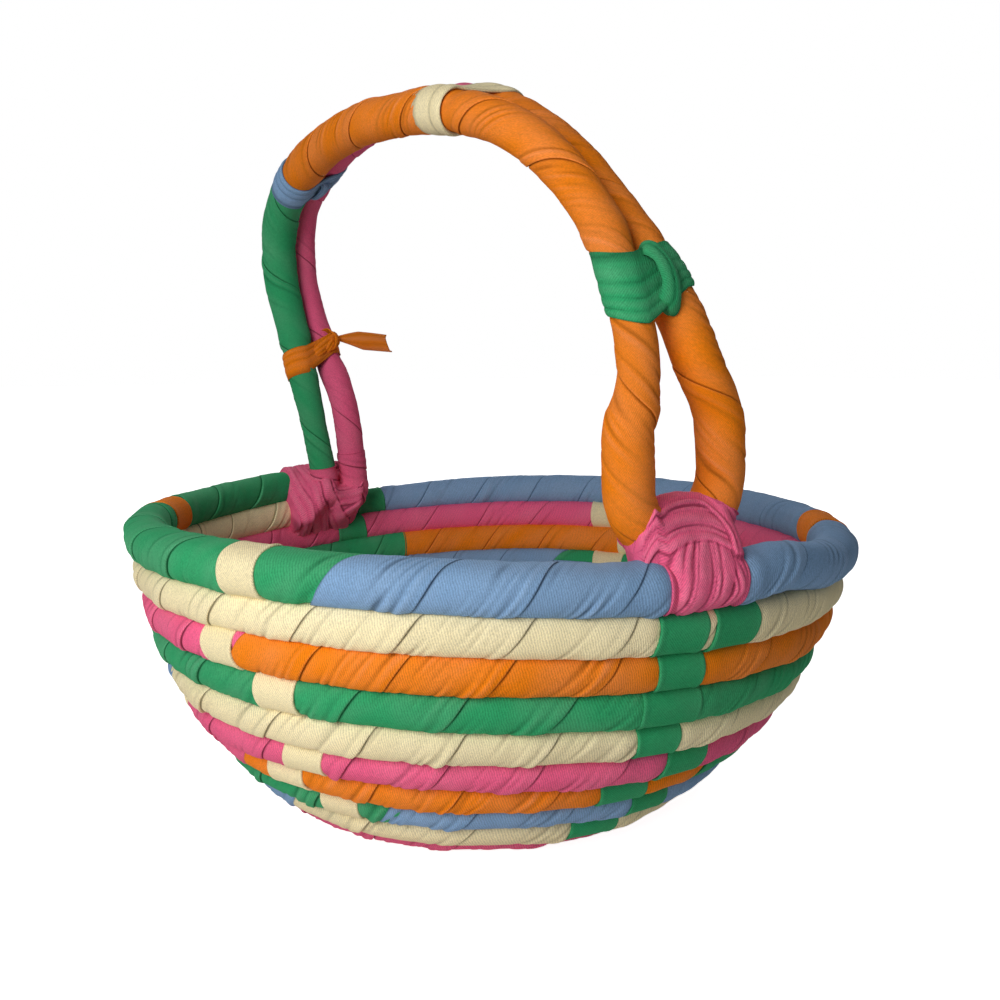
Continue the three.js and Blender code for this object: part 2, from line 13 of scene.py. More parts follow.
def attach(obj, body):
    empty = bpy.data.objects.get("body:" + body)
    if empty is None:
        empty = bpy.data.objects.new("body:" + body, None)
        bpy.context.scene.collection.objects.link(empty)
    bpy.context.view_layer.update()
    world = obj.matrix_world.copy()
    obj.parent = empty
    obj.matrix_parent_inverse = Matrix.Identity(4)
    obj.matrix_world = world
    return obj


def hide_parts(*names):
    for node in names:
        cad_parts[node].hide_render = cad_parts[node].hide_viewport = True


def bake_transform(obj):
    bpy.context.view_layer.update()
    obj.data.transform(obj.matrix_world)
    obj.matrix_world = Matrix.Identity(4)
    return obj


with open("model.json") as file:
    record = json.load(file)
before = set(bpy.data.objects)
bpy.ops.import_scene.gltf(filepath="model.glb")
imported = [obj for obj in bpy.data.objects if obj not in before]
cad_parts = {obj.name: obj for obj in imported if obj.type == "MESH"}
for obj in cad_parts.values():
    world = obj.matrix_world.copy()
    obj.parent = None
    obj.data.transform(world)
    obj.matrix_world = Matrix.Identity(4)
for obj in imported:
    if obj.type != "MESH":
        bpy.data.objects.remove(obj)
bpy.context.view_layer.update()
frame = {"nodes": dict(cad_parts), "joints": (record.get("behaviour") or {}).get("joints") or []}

bl_info = {
    "name": "Rag basket",
    "version": (1, 0, 0),
    "blender": (4, 5, 0),
    "location": "View3D > Sidebar > Rag basket",
    "description": "Dresses the packed frame of a coiled rag basket and sets up its studio",
    "category": "Object",
}

MM = 0.001
TURN = 2 * math.pi

# Each group of pieces draws its unevenness from its own seed.
COIL_SEED = 20
WRAP_SEED = 21
TIE_SEED = 120
HANDLE_WRAP_SEED = 220
STRAND_SEED = 270
BAND_SEED = 320
KNOT_SEED = 330
LASHING_SEED = 420

# The coil's route, in millimetres, degrees and turns, as its solids have it.
RIM_RADIUS = 150
RIM_END_AZIMUTH = 184
RIM_SHIFT = 9
RIM_SADDLE = 2.6
RIM_SADDLE_AZIMUTH = 124
RIM_EXTRA_WRAP = 1.1
RIM_THINS_FROM_TURN = 0.9
LASHED_RIM_LIFT = 3.5
LASHED_RIM_AZIMUTH = 7
LASHED_RIM_REACH = 10
WRAP_HALF_HEIGHT = 6.9
WRAP_HALF_WIDTH = 7.5
ROW_GAP = 0.4
ROW_PITCH = 2 * WRAP_HALF_HEIGHT + ROW_GAP
WALL_TURNS = 11
INNER_TURN_RADIUS = 9
PROFILE_STEP = 0.01
PROFILE_MOST_STEPS = 4000
# How far the wall leans in from upright, in degrees, by turns down from the rim.
WALL_LEAN = np.array([(0, 10), (2, 16), (4, 23), (6, 41), (8, 42), (WALL_TURNS, 90)], float)

# The colour of each run of wrap, with the turn where it starts.
WALL_RUNS = [
    ("wrap_green_1", "green", 0),
    ("wrap_blue_1", "blue", 0.338),
    ("wrap_cream_2", "cream", 0.99),
    ("wrap_pink_2", "pink", 1.615),
    ("wrap_orange_3", "orange", 2.293),
    ("wrap_green_3", "green", 2.954),
    ("wrap_blue_4", "blue", 3.825),
    ("wrap_cream_5", "cream", 4.21),
    ("wrap_pink_6", "pink", 5.21),
    ("wrap_orange_7", "orange", 6.26),
    ("wrap_green_7", "green", 6.512),
    ("wrap_blue_8", "blue", 7.342),
    ("wrap_cream_9", "cream", 8.266),
    ("wrap_pink_10", "pink", 9.2),
]
# Runs that start with a square end.
SQUARE_STARTS = ("wrap_green_3", "wrap_cream_2")
BASE_RUNS_FROM_TURN = 10.2
BASE_RUNS = [
    ("wrap_orange_11", "orange"),
    ("wrap_green_12", "green"),
    ("wrap_blue_13", "blue"),
    ("wrap_cream_14", "cream"),
]
# Ties on the rows and bands on the rim: the turn at the middle of each, and its width in millimetres.
ROW_TIES = [
    ("tie_cream_1", "cream", 0.306, 15.7),
    ("tie_green_back_1", "green", 0.977, 17.6),
    ("tie_green_2a", "green", 1.461, 17.7),
    ("tie_green_2b", "green", 1.485, 19.5),
    ("tie_cream_back_2", "cream", 1.8136, 19),
    ("tie_green_back_2", "green", 1.992, 18),
    ("tie_cream_3", "cream", 2.287, 15.4),
    ("tie_green_3", "green", 2.465, 17.2),
    ("tie_cream_back_3", "cream", 2.79, 21),
    ("tie_cream_4", "cream", 3.312, 16.7),
    ("tie_green_4", "green", 3.465, 22),
    ("tie_cream_back_4", "cream", 3.807, 18.4),
    ("tie_green_5", "green", 4.465, 16.9),
    ("tie_cream_6", "cream", 5.314, 16.4),
    ("tie_green_6", "green", 5.487, 18.5),
    ("tie_cream_7", "cream", 6.295, 16.5),
    ("tie_green_7", "green", 6.463, 18.2),
    ("tie_cream_8", "cream", 7.319, 15.1),
    ("tie_green_8", "green", 7.489, 16.6),
    ("tie_green_9", "green", 8.463, 18.9),
    ("band_orange_left", "orange", 0.143, 22),
    ("band_orange_right", "orange", 0.631, 22),
]

# The handle's sizes and the seats of its two bends, in millimetres and degrees, as its solids have them.
HANDLE_Y = -5
HANDLE_RISE = 173
HANDLE_LEAN = 8
STRAND_RADIUS = 7.9
FRONT_BEND_RADIUS = 21
BACK_BEND_RADIUS = 8.6
FRONT_BEND_INSET = 12
FOOT_CLEARANCE = 0.4
FRONT_SEAT_ROOM = 1.8
BACK_FOOT_DROP = 8
SWAY_ROOM = 2
# The strands' solids have six sides, and are seated with a side that slopes this much.
STRAND_FLANK = math.pi / 6
# The handle's route from its front foot to its back one: along the line between the lashings and up, as
# shares of half the span and of the rise, then the half distance between its two strands and their twist.
HANDLE_ROUTE = [
    (0.926, 0.277, 20.5, 0),
    (0.922, 0.405, 12.5, 0),
    (0.869, 0.548, 9.2, -4),
    (0.767, 0.685, 8.4, -22),
    (0.591, 0.833, 8.3, -17),
    (0.334, 0.945, 8.3, 1),
    (0, 0.999, 8.3, 9),
    (-0.34, 1.012, 8.3, 15),
    (-0.69, 0.954, 8.3, 15),
    (-0.929, 0.836, 8.3, 20),
    (-1.003, 0.663, 8.3, 22),
    (-0.955, 0.476, 8.3, 16),
    (-0.872, 0.262, 9.4, -8),
]
ROUTE_STEPS = 80
BEND_STEPS = 30
# Where the lashings take over from the strands' own wraps: how far into the front bend, and how far before
# the back one on each strand.
WRAP_INTO_FRONT_BEND = 14
LASHED_FAR_STRAND_BACK = 18
LASHED_NEAR_STRAND_BACK = 13
# Bands round both strands: the middle of each as a share of the route, its width, its pleats, how far it runs
# on from the near strand to the far one and from the inner side to the outer one, and how much wider it is
# on the near strand.
HANDLE_BANDS = [
    ("handle_band_green", "green", 0.132, 19, 4, 3, -4, 0.14),
    ("handle_band_cream", "cream", 0.352, 22, 2, -5, 0, 0),
    ("handle_band_blue", "blue", 0.639, 18, 3, -3, 0, 0),
    ("handle_band_orange", "orange", 0.857, 13, 3, -4, 0, 0.1),
]
BAND_MIDDLES = {node: share for node, _, share, *_ in HANDLE_BANDS}
# Radius of the wrapped strands, far and near, at shares of the route from the front bend to the back one.
STRAND_SIZES = np.array([
    (0, 8.5, 8.5),
    (0.05, 8.6, 8.4),
    (0.06, 8.6, 7.4),
    (0.1, 8.1, 7.0),
    (0.2, 8, 7.4),
    (0.4, 8.2, 8.5),
    (0.6, 7.9, 9.2),
    (0.78, 7.6, 9),
    (0.86, 7.5, 7.9),
    (0.93, 7.4, 6.9),
    (1, 6.9, 6.7),
])

# Core ropes: three strands laid together, with the length of one turn of the lay.
COIL_CORE_RADIUS = 5.1
HANDLE_CORE_RADIUS = 5.4
CORE_STRANDS = 3
CORE_LAY = 40
CORE_STEP = 3.5
CORE_AROUND = 21
CORE_GROOVE = 0.13

# Knots on the bands: each rag's places along the handle, across the strands and out, its width and pleats.
KNOTS = [
    ("handle_knot_green", "green", "handle_band_green", [
        ([(-15, -1, 3), (-13.5, 0, 8.5), (-8, 1.5, 11), (-1, 1.5, 11), (5, -1, 9), (7, -2, 3)], 9, 2),
    ]),
    ("handle_knot_orange", "orange", "handle_band_orange", [
        ([(-11, 8, -5), (-9.5, 10, -9.5), (-6, 11.5, -11.5), (-2, 11, -10.5), (0.5, 9, -6)], 7, 2),
        ([(2, -5, -8), (-1, 1, -9), (-4, 6, -10.5), (-6, 11, -11.5), (-7, 15, -10)], 7, 3),
        ([(3, 3, -6), (0, 6, -9), (-3, 9, -10.5), (-7, 12, -9.5), (-9, 12, -5)], 6, 2),
    ]),
    ("handle_tuck_blue", "blue", "handle_band_blue", [
        ([(9, 1, -3), (8, 1, -9), (2, 1.5, -10.5), (-4, 2, -10), (-7, 2, -5)], 7, 2),
    ]),
]
# The orange knot's tail: its two ends beside the band, and its cut, a strip with a narrow root and a
# forked end.
TAIL_ENDS = [(-6, 13, -10), (-3, 38, -17)]
TAIL_LENGTH = 30
TAIL_WIDTH = 13
TAIL_ROOT_WIDTH = 3
TAIL_WIDENS_OVER = 0.5
TAIL_FORK_DEPTH = 3
# It droops, is curled across by so many radians to either side, and is wrinkled in waves across and along.
TAIL_DROOP = 4
TAIL_CURL = 1.25
TAIL_WRINKLE = 0.5
TAIL_WRINKLES = (7, 3)
TAIL_THICKNESS = 0.8
TAIL_STEPS = (40, 23)
# The tail's shading, painted along its wrinkles: highlight on their crests, shade in their troughs, lighter
# overall.
TAIL_SHADING = (0.35, 0.6)

# Lashings. The rag round the rim stands beside the front foot, and at the back this far from the coil's end.
FRONT_LASHING_BESIDE_FOOT = 5
BACK_LASHING_FROM_END = 2.7
# The front one draws the rim in under it, and the strips round the bends lie over the strands' own wraps.
LASHING_DRAW = 1.6
LASHING_DRAW_INSET = 1
LASHING_LIFT = 0.6
# The rows are followed this far to either side of a foot.
LASHED_REACH = 45
LASHED_STEPS = 91
# Cloth drawn round the rim and the handle's bend at each foot: how far along the rim it takes up each of
# them, how many rows down it goes, how high it stands up over the rim's middle, from where along the rim it
# slopes down, and whether it is laid out down the rim's outer side (1) or its inner side (-1). It leaves the
# basket and reaches the handle at two places out of the rim (1) or up from it (2). Strips are folded over it:
# places along the rim and round the cloth from its top, width and pleats. The front cloth has no slope, and
# the back one no crown.
Lashing = namedtuple(
    "Lashing", "rim_width rim_reach bend_reach rows crown slope_from side blend_way blend strips"
)
LASHINGS = {
    "front": Lashing(
        rim_width=30,
        rim_reach=(-21, 12),
        bend_reach=(-26, 14),
        rows=(0,),
        crown=17,
        slope_from=LASHED_REACH,
        side=1,
        blend_way=2,
        blend=(4, 20),
        strips=[
            ([(-16, -20), (-15, -8), (-13, 2)], 9, 2),
            ([(3, -20), (2, -8), (2, 2)], 9, 2),
            ([(-6, -20), (-7, -8), (-6, 2)], 10, 2),
            ([(-9, 19), (-14, 27), (-17, 36), (-17, 48), (-16, 60)], 10, 2),
            ([(6, 21), (6, 30), (7, 38), (4, 50), (3, 60)], 9, 2),
            ([(-3, 20), (-7, 28), (-11, 38), (-11, 49), (-10, 60)], 8, 2),
            ([(2, 20), (0, 28), (-3, 38), (-4, 50), (-4, 60)], 8, 2),
            ([(-30, 18), (-21, 17.5), (-12, 15), (0, 16), (6, 20), (12, 26)], 8.5, 3),
            ([(-26, 12), (-16, 11), (-8, 10), (2, 11), (9, 17), (11, 26)], 6, 2),
            ([(-24, 8), (-14, 4), (-4, 2), (4, 3), (9, 10), (10.5, 18), (9, 26)], 7, 2),
        ],
    ),
    "back": Lashing(
        rim_width=27,
        rim_reach=(-13, 30),
        bend_reach=(-9, 28),
        rows=(0, 1, 1.6),
        crown=-LASHED_REACH,
        slope_from=15,
        side=-1,
        blend_way=1,
        blend=(-8, -22),
        strips=[
            ([(-7, -24), (-7, -8), (-8, 6)], 9, 2),
            ([(11, -24), (10, -8), (11, 4)], 10, 2),
            ([(1, -24), (2, -8), (1, 6)], 10, 2),
            ([(14, 14), (4, 14), (-10, 14)], 9, 2),
            ([(-10, 6), (-7, 18), (-5, 28)], 9, 1),
            ([(16, 30), (8, 28), (0, 27), (-10, 28)], 7, 2),
            ([(14, 37), (6, 34), (0, 34), (-9, 36)], 7, 2),
            ([(6, 49), (2, 44), (-2, 42), (-9, 42)], 8, 2),
            ([(12, 4), (16, 21), (17, 32), (10, 43), (0, 58), (-4, 68)], 9, 2),
            ([(20, -24), (20, -8), (21, 4), (22, 20), (23, 32), (17, 46), (11, 62), (9, 68)], 9, 2),
            ([(28, -24), (29, -8), (29, 4), (29, 20), (28, 34), (24, 54), (22, 68)], 8, 2),
        ],
    ),
}

# The camera, found from the photograph's perspective: its place from the rim's middle and its turn.
CAMERA_AZIMUTH = 56
CAMERA_DISTANCE = 453.46
CAMERA_ABOVE_RIM = 67.02
CAMERA_YAW = 0.0074
CAMERA_PITCH = 0.1383
CAMERA_ROLL = -0.0041
PHOTO_SIDE = 1000
LENS_PIXELS = 1005.35
SENSOR = 36
CLIP_START = 0.01

# The studio, in metres. Lamps: name, swing from the camera and height in degrees, distance, size, and watts.
FLOOR_REACH = 8
FLOOR_GLOW = 0.92
WORLD_FILL = 0.12
LAMPS = [("key", -25, 21, 0.62, 0.37, 2.3), ("back", 180, 30, 1.2, 1.0, 4.5)]
LAMP_COLOUR = (1, 0.985, 0.96)
LAMPS_AIM_HEIGHT = 0.12


def linear(hex_colour):
    """An sRGB hex colour as linear red, green and blue."""
    parts = [int(hex_colour[i : i + 2], 16) / 255 for i in (0, 2, 4)]
    return tuple(p / 12.92 if p <= 0.04045 else ((p + 0.055) / 1.055) ** 2.4 for p in parts)


class RagSizes(PropertyGroup):
    """Sizes of the rags that dress the basket."""

    strip_pitch: FloatProperty(
        name="Strip pitch",
        description="Length of row that one turn of a rag strip covers",
        default=34 * MM,
        unit="LENGTH",
    )
    handle_pitch: FloatProperty(
        name="Handle strip pitch",
        description="Length of handle strand that one turn of a rag strip covers",
        default=44 * MM,
        unit="LENGTH",
    )
    lip: FloatProperty(
        name="Strip edge",
        description="Height of a strip's edge over the strip that it laps",
        default=0.55 * MM,
        unit="LENGTH",
    )
    crease: FloatProperty(
        name="Crease depth",
        description="Depth of the creases that the winding pulls into a strip",
        default=0.62 * MM,
        unit="LENGTH",
    )
    lashing_pitch: FloatProperty(
        name="Lashing strip pitch",
        description="Length of the handle's bend that one turn of a lashing covers",
        default=15 * MM,
        unit="LENGTH",
    )
    tie_draw: FloatProperty(
        name="Tie draw",
        description="How far a tie draws its row in",
        default=0.7 * MM,
        unit="LENGTH",
    )
    cloth: FloatProperty(
        name="Cloth thickness",
        description="Thickness of the cotton rags",
        default=0.8 * MM,
        unit="LENGTH",
    )
    twill: FloatProperty(
        name="Twill ribs",
        description="Distance between the ribs of the twill",
        default=0.64 * MM,
        unit="LENGTH",
    )


class RagColours(PropertyGroup):
    """Colours of the rags, the rope and the floor."""

    green: FloatVectorProperty(
        name="Green rag", description="Green cotton", default=linear("2f9d66"), subtype="COLOR", size=3
    )
    blue: FloatVectorProperty(
        name="Blue rag", description="Blue cotton", default=linear("80a4cc"), subtype="COLOR", size=3
    )
    cream: FloatVectorProperty(
        name="Cream rag", description="Cream cotton", default=linear("f4e6ba"), subtype="COLOR", size=3
    )
    pink: FloatVectorProperty(
        name="Pink rag", description="Pink cotton", default=linear("f0638f"), subtype="COLOR", size=3
    )
    orange: FloatVectorProperty(
        name="Orange rag", description="Orange cotton", default=linear("f28310"), subtype="COLOR", size=3
    )
    rope: FloatVectorProperty(
        name="Core rope", description="Jute core rope", default=linear("cdb98c"), subtype="COLOR", size=3
    )
    floor: FloatVectorProperty(
        name="Floor", description="Painted studio floor", default=linear("f4f4f4"), subtype="COLOR", size=3
    )


def sizes():
    return bpy.context.scene.rag_sizes


def colours():
    return bpy.context.scene.rag_colours


# Lines and uneven shapes

# An uneven line is a sum of waves, each shorter and weaker than the one before.
WAVES = 4
WAVE_SHORTENS = 0.8
WAVE_WEAKENS = 0.5


def waves(rng, places, longest, size):
    """A smooth uneven line over these places, of about this size either way."""
    total = np.zeros(np.shape(places))
    for i in range(WAVES):
        phase = TURN * places * (1 + i * WAVE_SHORTENS) / longest + rng.uniform(0, TURN)
        total += np.sin(phase) / (1 + i * WAVE_WEAKENS)
    return total * size / math.sqrt(WAVES)


def smooth(x):
    """A step from 0 to 1 that starts and ends gently."""
    x = np.clip(x, 0, 1)
    return x * x * (3 - 2 * x)


def hump(x):
    """A rounded hump of height 1, about 1 wide to either side."""
    return np.exp(-(x**2))


def unit(ways):
    return ways / np.linalg.norm(ways, axis=-1)[..., None]


def lengths_along(points):
    steps = np.linalg.norm(np.diff(points, axis=0), axis=1)
    return np.concatenate([[0], np.cumsum(steps)])


def centripetal(points, steps):
    """Places along the smooth curve through these points, the same count between each two."""
    points = np.array(points, float)
    full = np.vstack([2 * points[0] - points[1], points, 2 * points[-1] - points[-2]])
    t = np.arange(steps)[:, None] / steps
    pieces = []
    for a, b, c, d in zip(full, full[1:], full[2:], full[3:]):
        before, here, after = (math.sqrt(np.linalg.norm(q - p)) for p, q in ((a, b), (b, c), (c, d)))
        here = here or 1
        before, after = before or here, after or here
        leave = ((b - a) / before - (c - a) / (before + here) + (c - b) / here) * here
        enter = ((c - b) / here - (d - b) / (here + after) + (d - c) / after) * here
        pieces.append(b + (c - b) * smooth(t) + leave * (t * (1 - t) ** 2) - enter * (t * t * (1 - t)))
    return np.vstack([*pieces, points[-1:]])


# Ropes and their routes

# Columns of a rope: its middle, the ways across and up, then its half width and its half heights.
CENTRE, ACROSS, UP = slice(0, 3), slice(3, 6), slice(6, 9)
WIDTH, UPPER, LOWER = 9, 10, 11
# How a tie draws a rope in: how sharply at its edge, and the swell beside it.
TIE_EDGE = 0.9
TIE_SWELL = 0.45
TIE_SWELL_AT = 5
TIE_SWELL_REACH = 4
EXPONENT_LIMIT = 30


class Rope:
    """A rope's middle line and section by length along it, in millimetres. Its creases lie flatter by the
    share pressed where it presses on its neighbours, and turn holds the coil's turns at its lengths."""

    def __init__(self, length, centre, u, v, width, upper, lower, power, pressed=0, turn=None):
        self.length = length
        self.columns = np.column_stack([centre, u, v, width, upper, lower])
        self.power = power
        self.pressed = pressed
        self.turn = turn
        self.dents = []

    def at(self, s):
        found = [np.interp(np.ravel(s), self.length, column) for column in self.columns.T]
        return np.stack(found, -1).reshape(np.shape(s) + (len(found),))

    def drawn(self, s):
        """How far the ties let the rope swell at a length, or draw it in where negative."""
        total = np.zeros(np.shape(s))
        for middle, half, depth in self.dents:
            away = np.abs(s - middle) - half
            total -= depth / (1 + np.exp(np.clip(away / TIE_EDGE, -EXPONENT_LIMIT, EXPONENT_LIMIT)))
            total += TIE_SWELL * depth * hump((away - TIE_SWELL_AT) / TIE_SWELL_REACH)
        return total

    def point(self, s, angle, height):
        """The place on the rope's skin at a length and an angle round it, this far off the skin."""
        here = self.at(s)
        cos, sin = np.cos(angle), np.sin(angle)
        tall = np.where(sin > 0, here[..., UPPER], here[..., LOWER])
        p = self.power
        reach = ((np.abs(cos) / here[..., WIDTH]) ** p + (np.abs(sin) / tall) ** p) ** (-1 / p)
        reach = reach + self.drawn(s) + height
        side = here[..., ACROSS] * (reach * cos)[..., None]
        return here[..., CENTRE] + side + here[..., UP] * (reach * sin)[..., None]


def lean_at(turn):
    return np.radians(np.interp(turn, WALL_LEAN[:, 0], WALL_LEAN[:, 1]))


class Coil:
    """The coil's route: turns are counted down from its end at the rim."""

    def __init__(self):
        leans = lean_at((np.arange(PROFILE_MOST_STEPS) + 0.5) * PROFILE_STEP)
        radius = RIM_RADIUS - np.cumsum(ROW_PITCH * PROFILE_STEP * np.sin(leans))
        drop = np.cumsum(ROW_PITCH * PROFILE_STEP * np.cos(leans))
        count = int(np.argmax(radius <= INNER_TURN_RADIUS)) + 1
        self.places = np.arange(count + 1) * PROFILE_STEP
        self.radius = np.concatenate([[RIM_RADIUS], radius[:count]])
        self.drop = np.concatenate([[0], drop[:count]])
        self.turns = count * PROFILE_STEP
        self.depth = self.drop[-1]

    def radius_at(self, turn):
        return np.interp(turn, self.places, self.radius)

    def row_point(self, turn):
        turn = np.asarray(turn, float)
        radius, drop = self.radius_at(turn), np.interp(turn, self.places, self.drop)
        lean, azimuth = lean_at(turn), np.radians(RIM_END_AZIMUTH + 360 * turn)
        shift = RIM_SHIFT * (1 - np.clip(turn / WALL_TURNS, 0, 1))
        wave = np.cos(2 * (azimuth - math.radians(RIM_SADDLE_AZIMUTH)))
        saddle = RIM_SADDLE * (1 - drop / self.depth) * wave
        lowest = WRAP_HALF_WIDTH * np.sin(lean) + WRAP_HALF_HEIGHT / 2 * np.cos(lean)
        height = np.maximum(lowest, WRAP_HALF_WIDTH + self.depth - drop + saddle)
        return np.stack([radius * np.cos(azimuth), radius * np.sin(azimuth) + shift, height], -1)

    def row_half(self, turn):
        here = self.row_point(turn)
        above = np.linalg.norm(here - self.row_point(turn - 1), axis=-1)
        below = np.linalg.norm(here - self.row_point(turn + 1), axis=-1)
        above = np.where(turn >= 1, above, np.inf)
        below = np.where(turn <= self.turns - 1, below, np.inf)
        return np.minimum(WRAP_HALF_HEIGHT, (np.minimum(above, below) - ROW_GAP) / 2)

    def frame(self, turn):
        """(centre, u, v, half height, half width) of the row at these turns."""
        turn = np.asarray(turn, float)
        lean, azimuth = lean_at(turn), np.radians(RIM_END_AZIMUTH + 360 * turn)
        out = np.stack([np.cos(azimuth), np.sin(azimuth), 0 * azimuth], -1)
        up = np.array([0, 0, 1.0])
        share = 1 - smooth((turn - RIM_THINS_FROM_TURN) / (1 - RIM_THINS_FROM_TURN))
        half = self.row_half(turn) + RIM_EXTRA_WRAP * share
        centre = self.row_point(turn)
        apart = np.linalg.norm(centre - self.row_point(turn + 1), axis=-1)
        wanted = half + self.row_half(turn + 1) + ROW_GAP
        away = (np.degrees(azimuth) - LASHED_RIM_AZIMUTH + 180) % 360 - 180
        pulled = LASHED_RIM_LIFT * hump(away / LASHED_RIM_REACH)
        centre[..., 2] += share * (np.maximum(0, wanted - apart) + pulled)
        cos, sin = np.cos(lean)[..., None], np.sin(lean)[..., None]
        width = WRAP_HALF_WIDTH + RIM_EXTRA_WRAP * share
        return centre, out * cos - up * sin, out * sin + up * cos, half, width


coil = Coil()
foot_angle = math.degrees(math.asin((RIM_SHIFT - HANDLE_Y) / RIM_RADIUS))
FRONT_FOOT_TURN = (360 - foot_angle - RIM_END_AZIMUTH) / 360
BACK_FOOT_TURN = (180 + foot_angle - RIM_END_AZIMUTH) / 360
front_foot, back_foot = coil.frame(FRONT_FOOT_TURN), coil.frame(BACK_FOOT_TURN)
SPAN_MIDDLE = (front_foot[0][0] + back_foot[0][0]) / 2
HALF_SPAN = (front_foot[0][0] - back_foot[0][0]) / 2
HINGE_HEIGHT = (front_foot[0][2] + back_foot[0][2]) / 2
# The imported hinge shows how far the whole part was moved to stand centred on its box.
HINGE = np.array(frame["joints"][0]["pos_m"], float) / MM
PART_SHIFT = HINGE - np.array([SPAN_MIDDLE, HANDLE_Y, HINGE_HEIGHT])

# How rows lie on each other: the cloth gives this much where two rows press together, and no row grows by
# more than this share. The creases lie flatter there.
ROW_PRESS = 0.8
ROW_MOST_GROWTH = 1.2
CREASES_PRESSED = 0.7
ROW_POWER = 2.25
ROW_SWELL = 0.2
ROW_SAMPLES = 7000
COIL_OVERRUN = 0.2
# The rows wander a little to the side and up, on waves of these turns, and lie steady on the base.
ROW_WANDER = 0.55
SIDE_BEAT, SIDE_TURNS = 1.07, 0.31
LIFT_BEAT, LIFT_TURNS = 1.03, 0.43
STEADY_OVER_TURNS = 2
# The cloth gives over this height where the basket stands on the floor.
FLOOR_PRESS = 0.6


def coil_rope():
    """The wrapped coil as one rope, with the rows pressed on their neighbours."""
    rng = np.random.default_rng(COIL_SEED)
    turn = np.linspace(-COIL_OVERRUN, coil.turns + COIL_OVERRUN, ROW_SAMPLES)
    centre, u, v, half, width = coil.frame(turn)
    wander = waves(rng, turn * SIDE_BEAT, SIDE_TURNS, ROW_WANDER)[:, None] * u
    lift = waves(rng, turn * LIFT_BEAT, LIFT_TURNS, ROW_WANDER)[:, None] * v
    steady = np.clip((BASE_RUNS_FROM_TURN - turn) / STEADY_OVER_TURNS, 0, 1)[:, None]
    centre = centre + (wander + lift) * steady + PART_SHIFT

    def shift(column, by):
        return np.stack([np.interp(turn + by, turn, c) for c in np.atleast_2d(column.T)], -1).squeeze()

    def press(by):
        apart = np.linalg.norm(shift(centre, by) - centre, axis=1)
        mine = apart * half / (half + shift(half, by)) + ROW_PRESS
        inside = (turn + by > 0) & (turn + by < coil.turns)
        return np.where(inside, np.minimum(mine, half * ROW_MOST_GROWTH), half)

    length = lengths_along(centre)
    length -= np.interp(0, turn, length)
    width = width + ROW_SWELL
    return Rope(length, centre, u, v, width, press(-1), press(1), ROW_POWER, CREASES_PRESSED, turn)


def length_at(rope, turn):
    return float(np.interp(turn, rope.turn, rope.length))


def width_in_turns(width):
    """A width along the rim as a share of its turn."""
    return width / (TURN * float(coil.radius_at(0)))


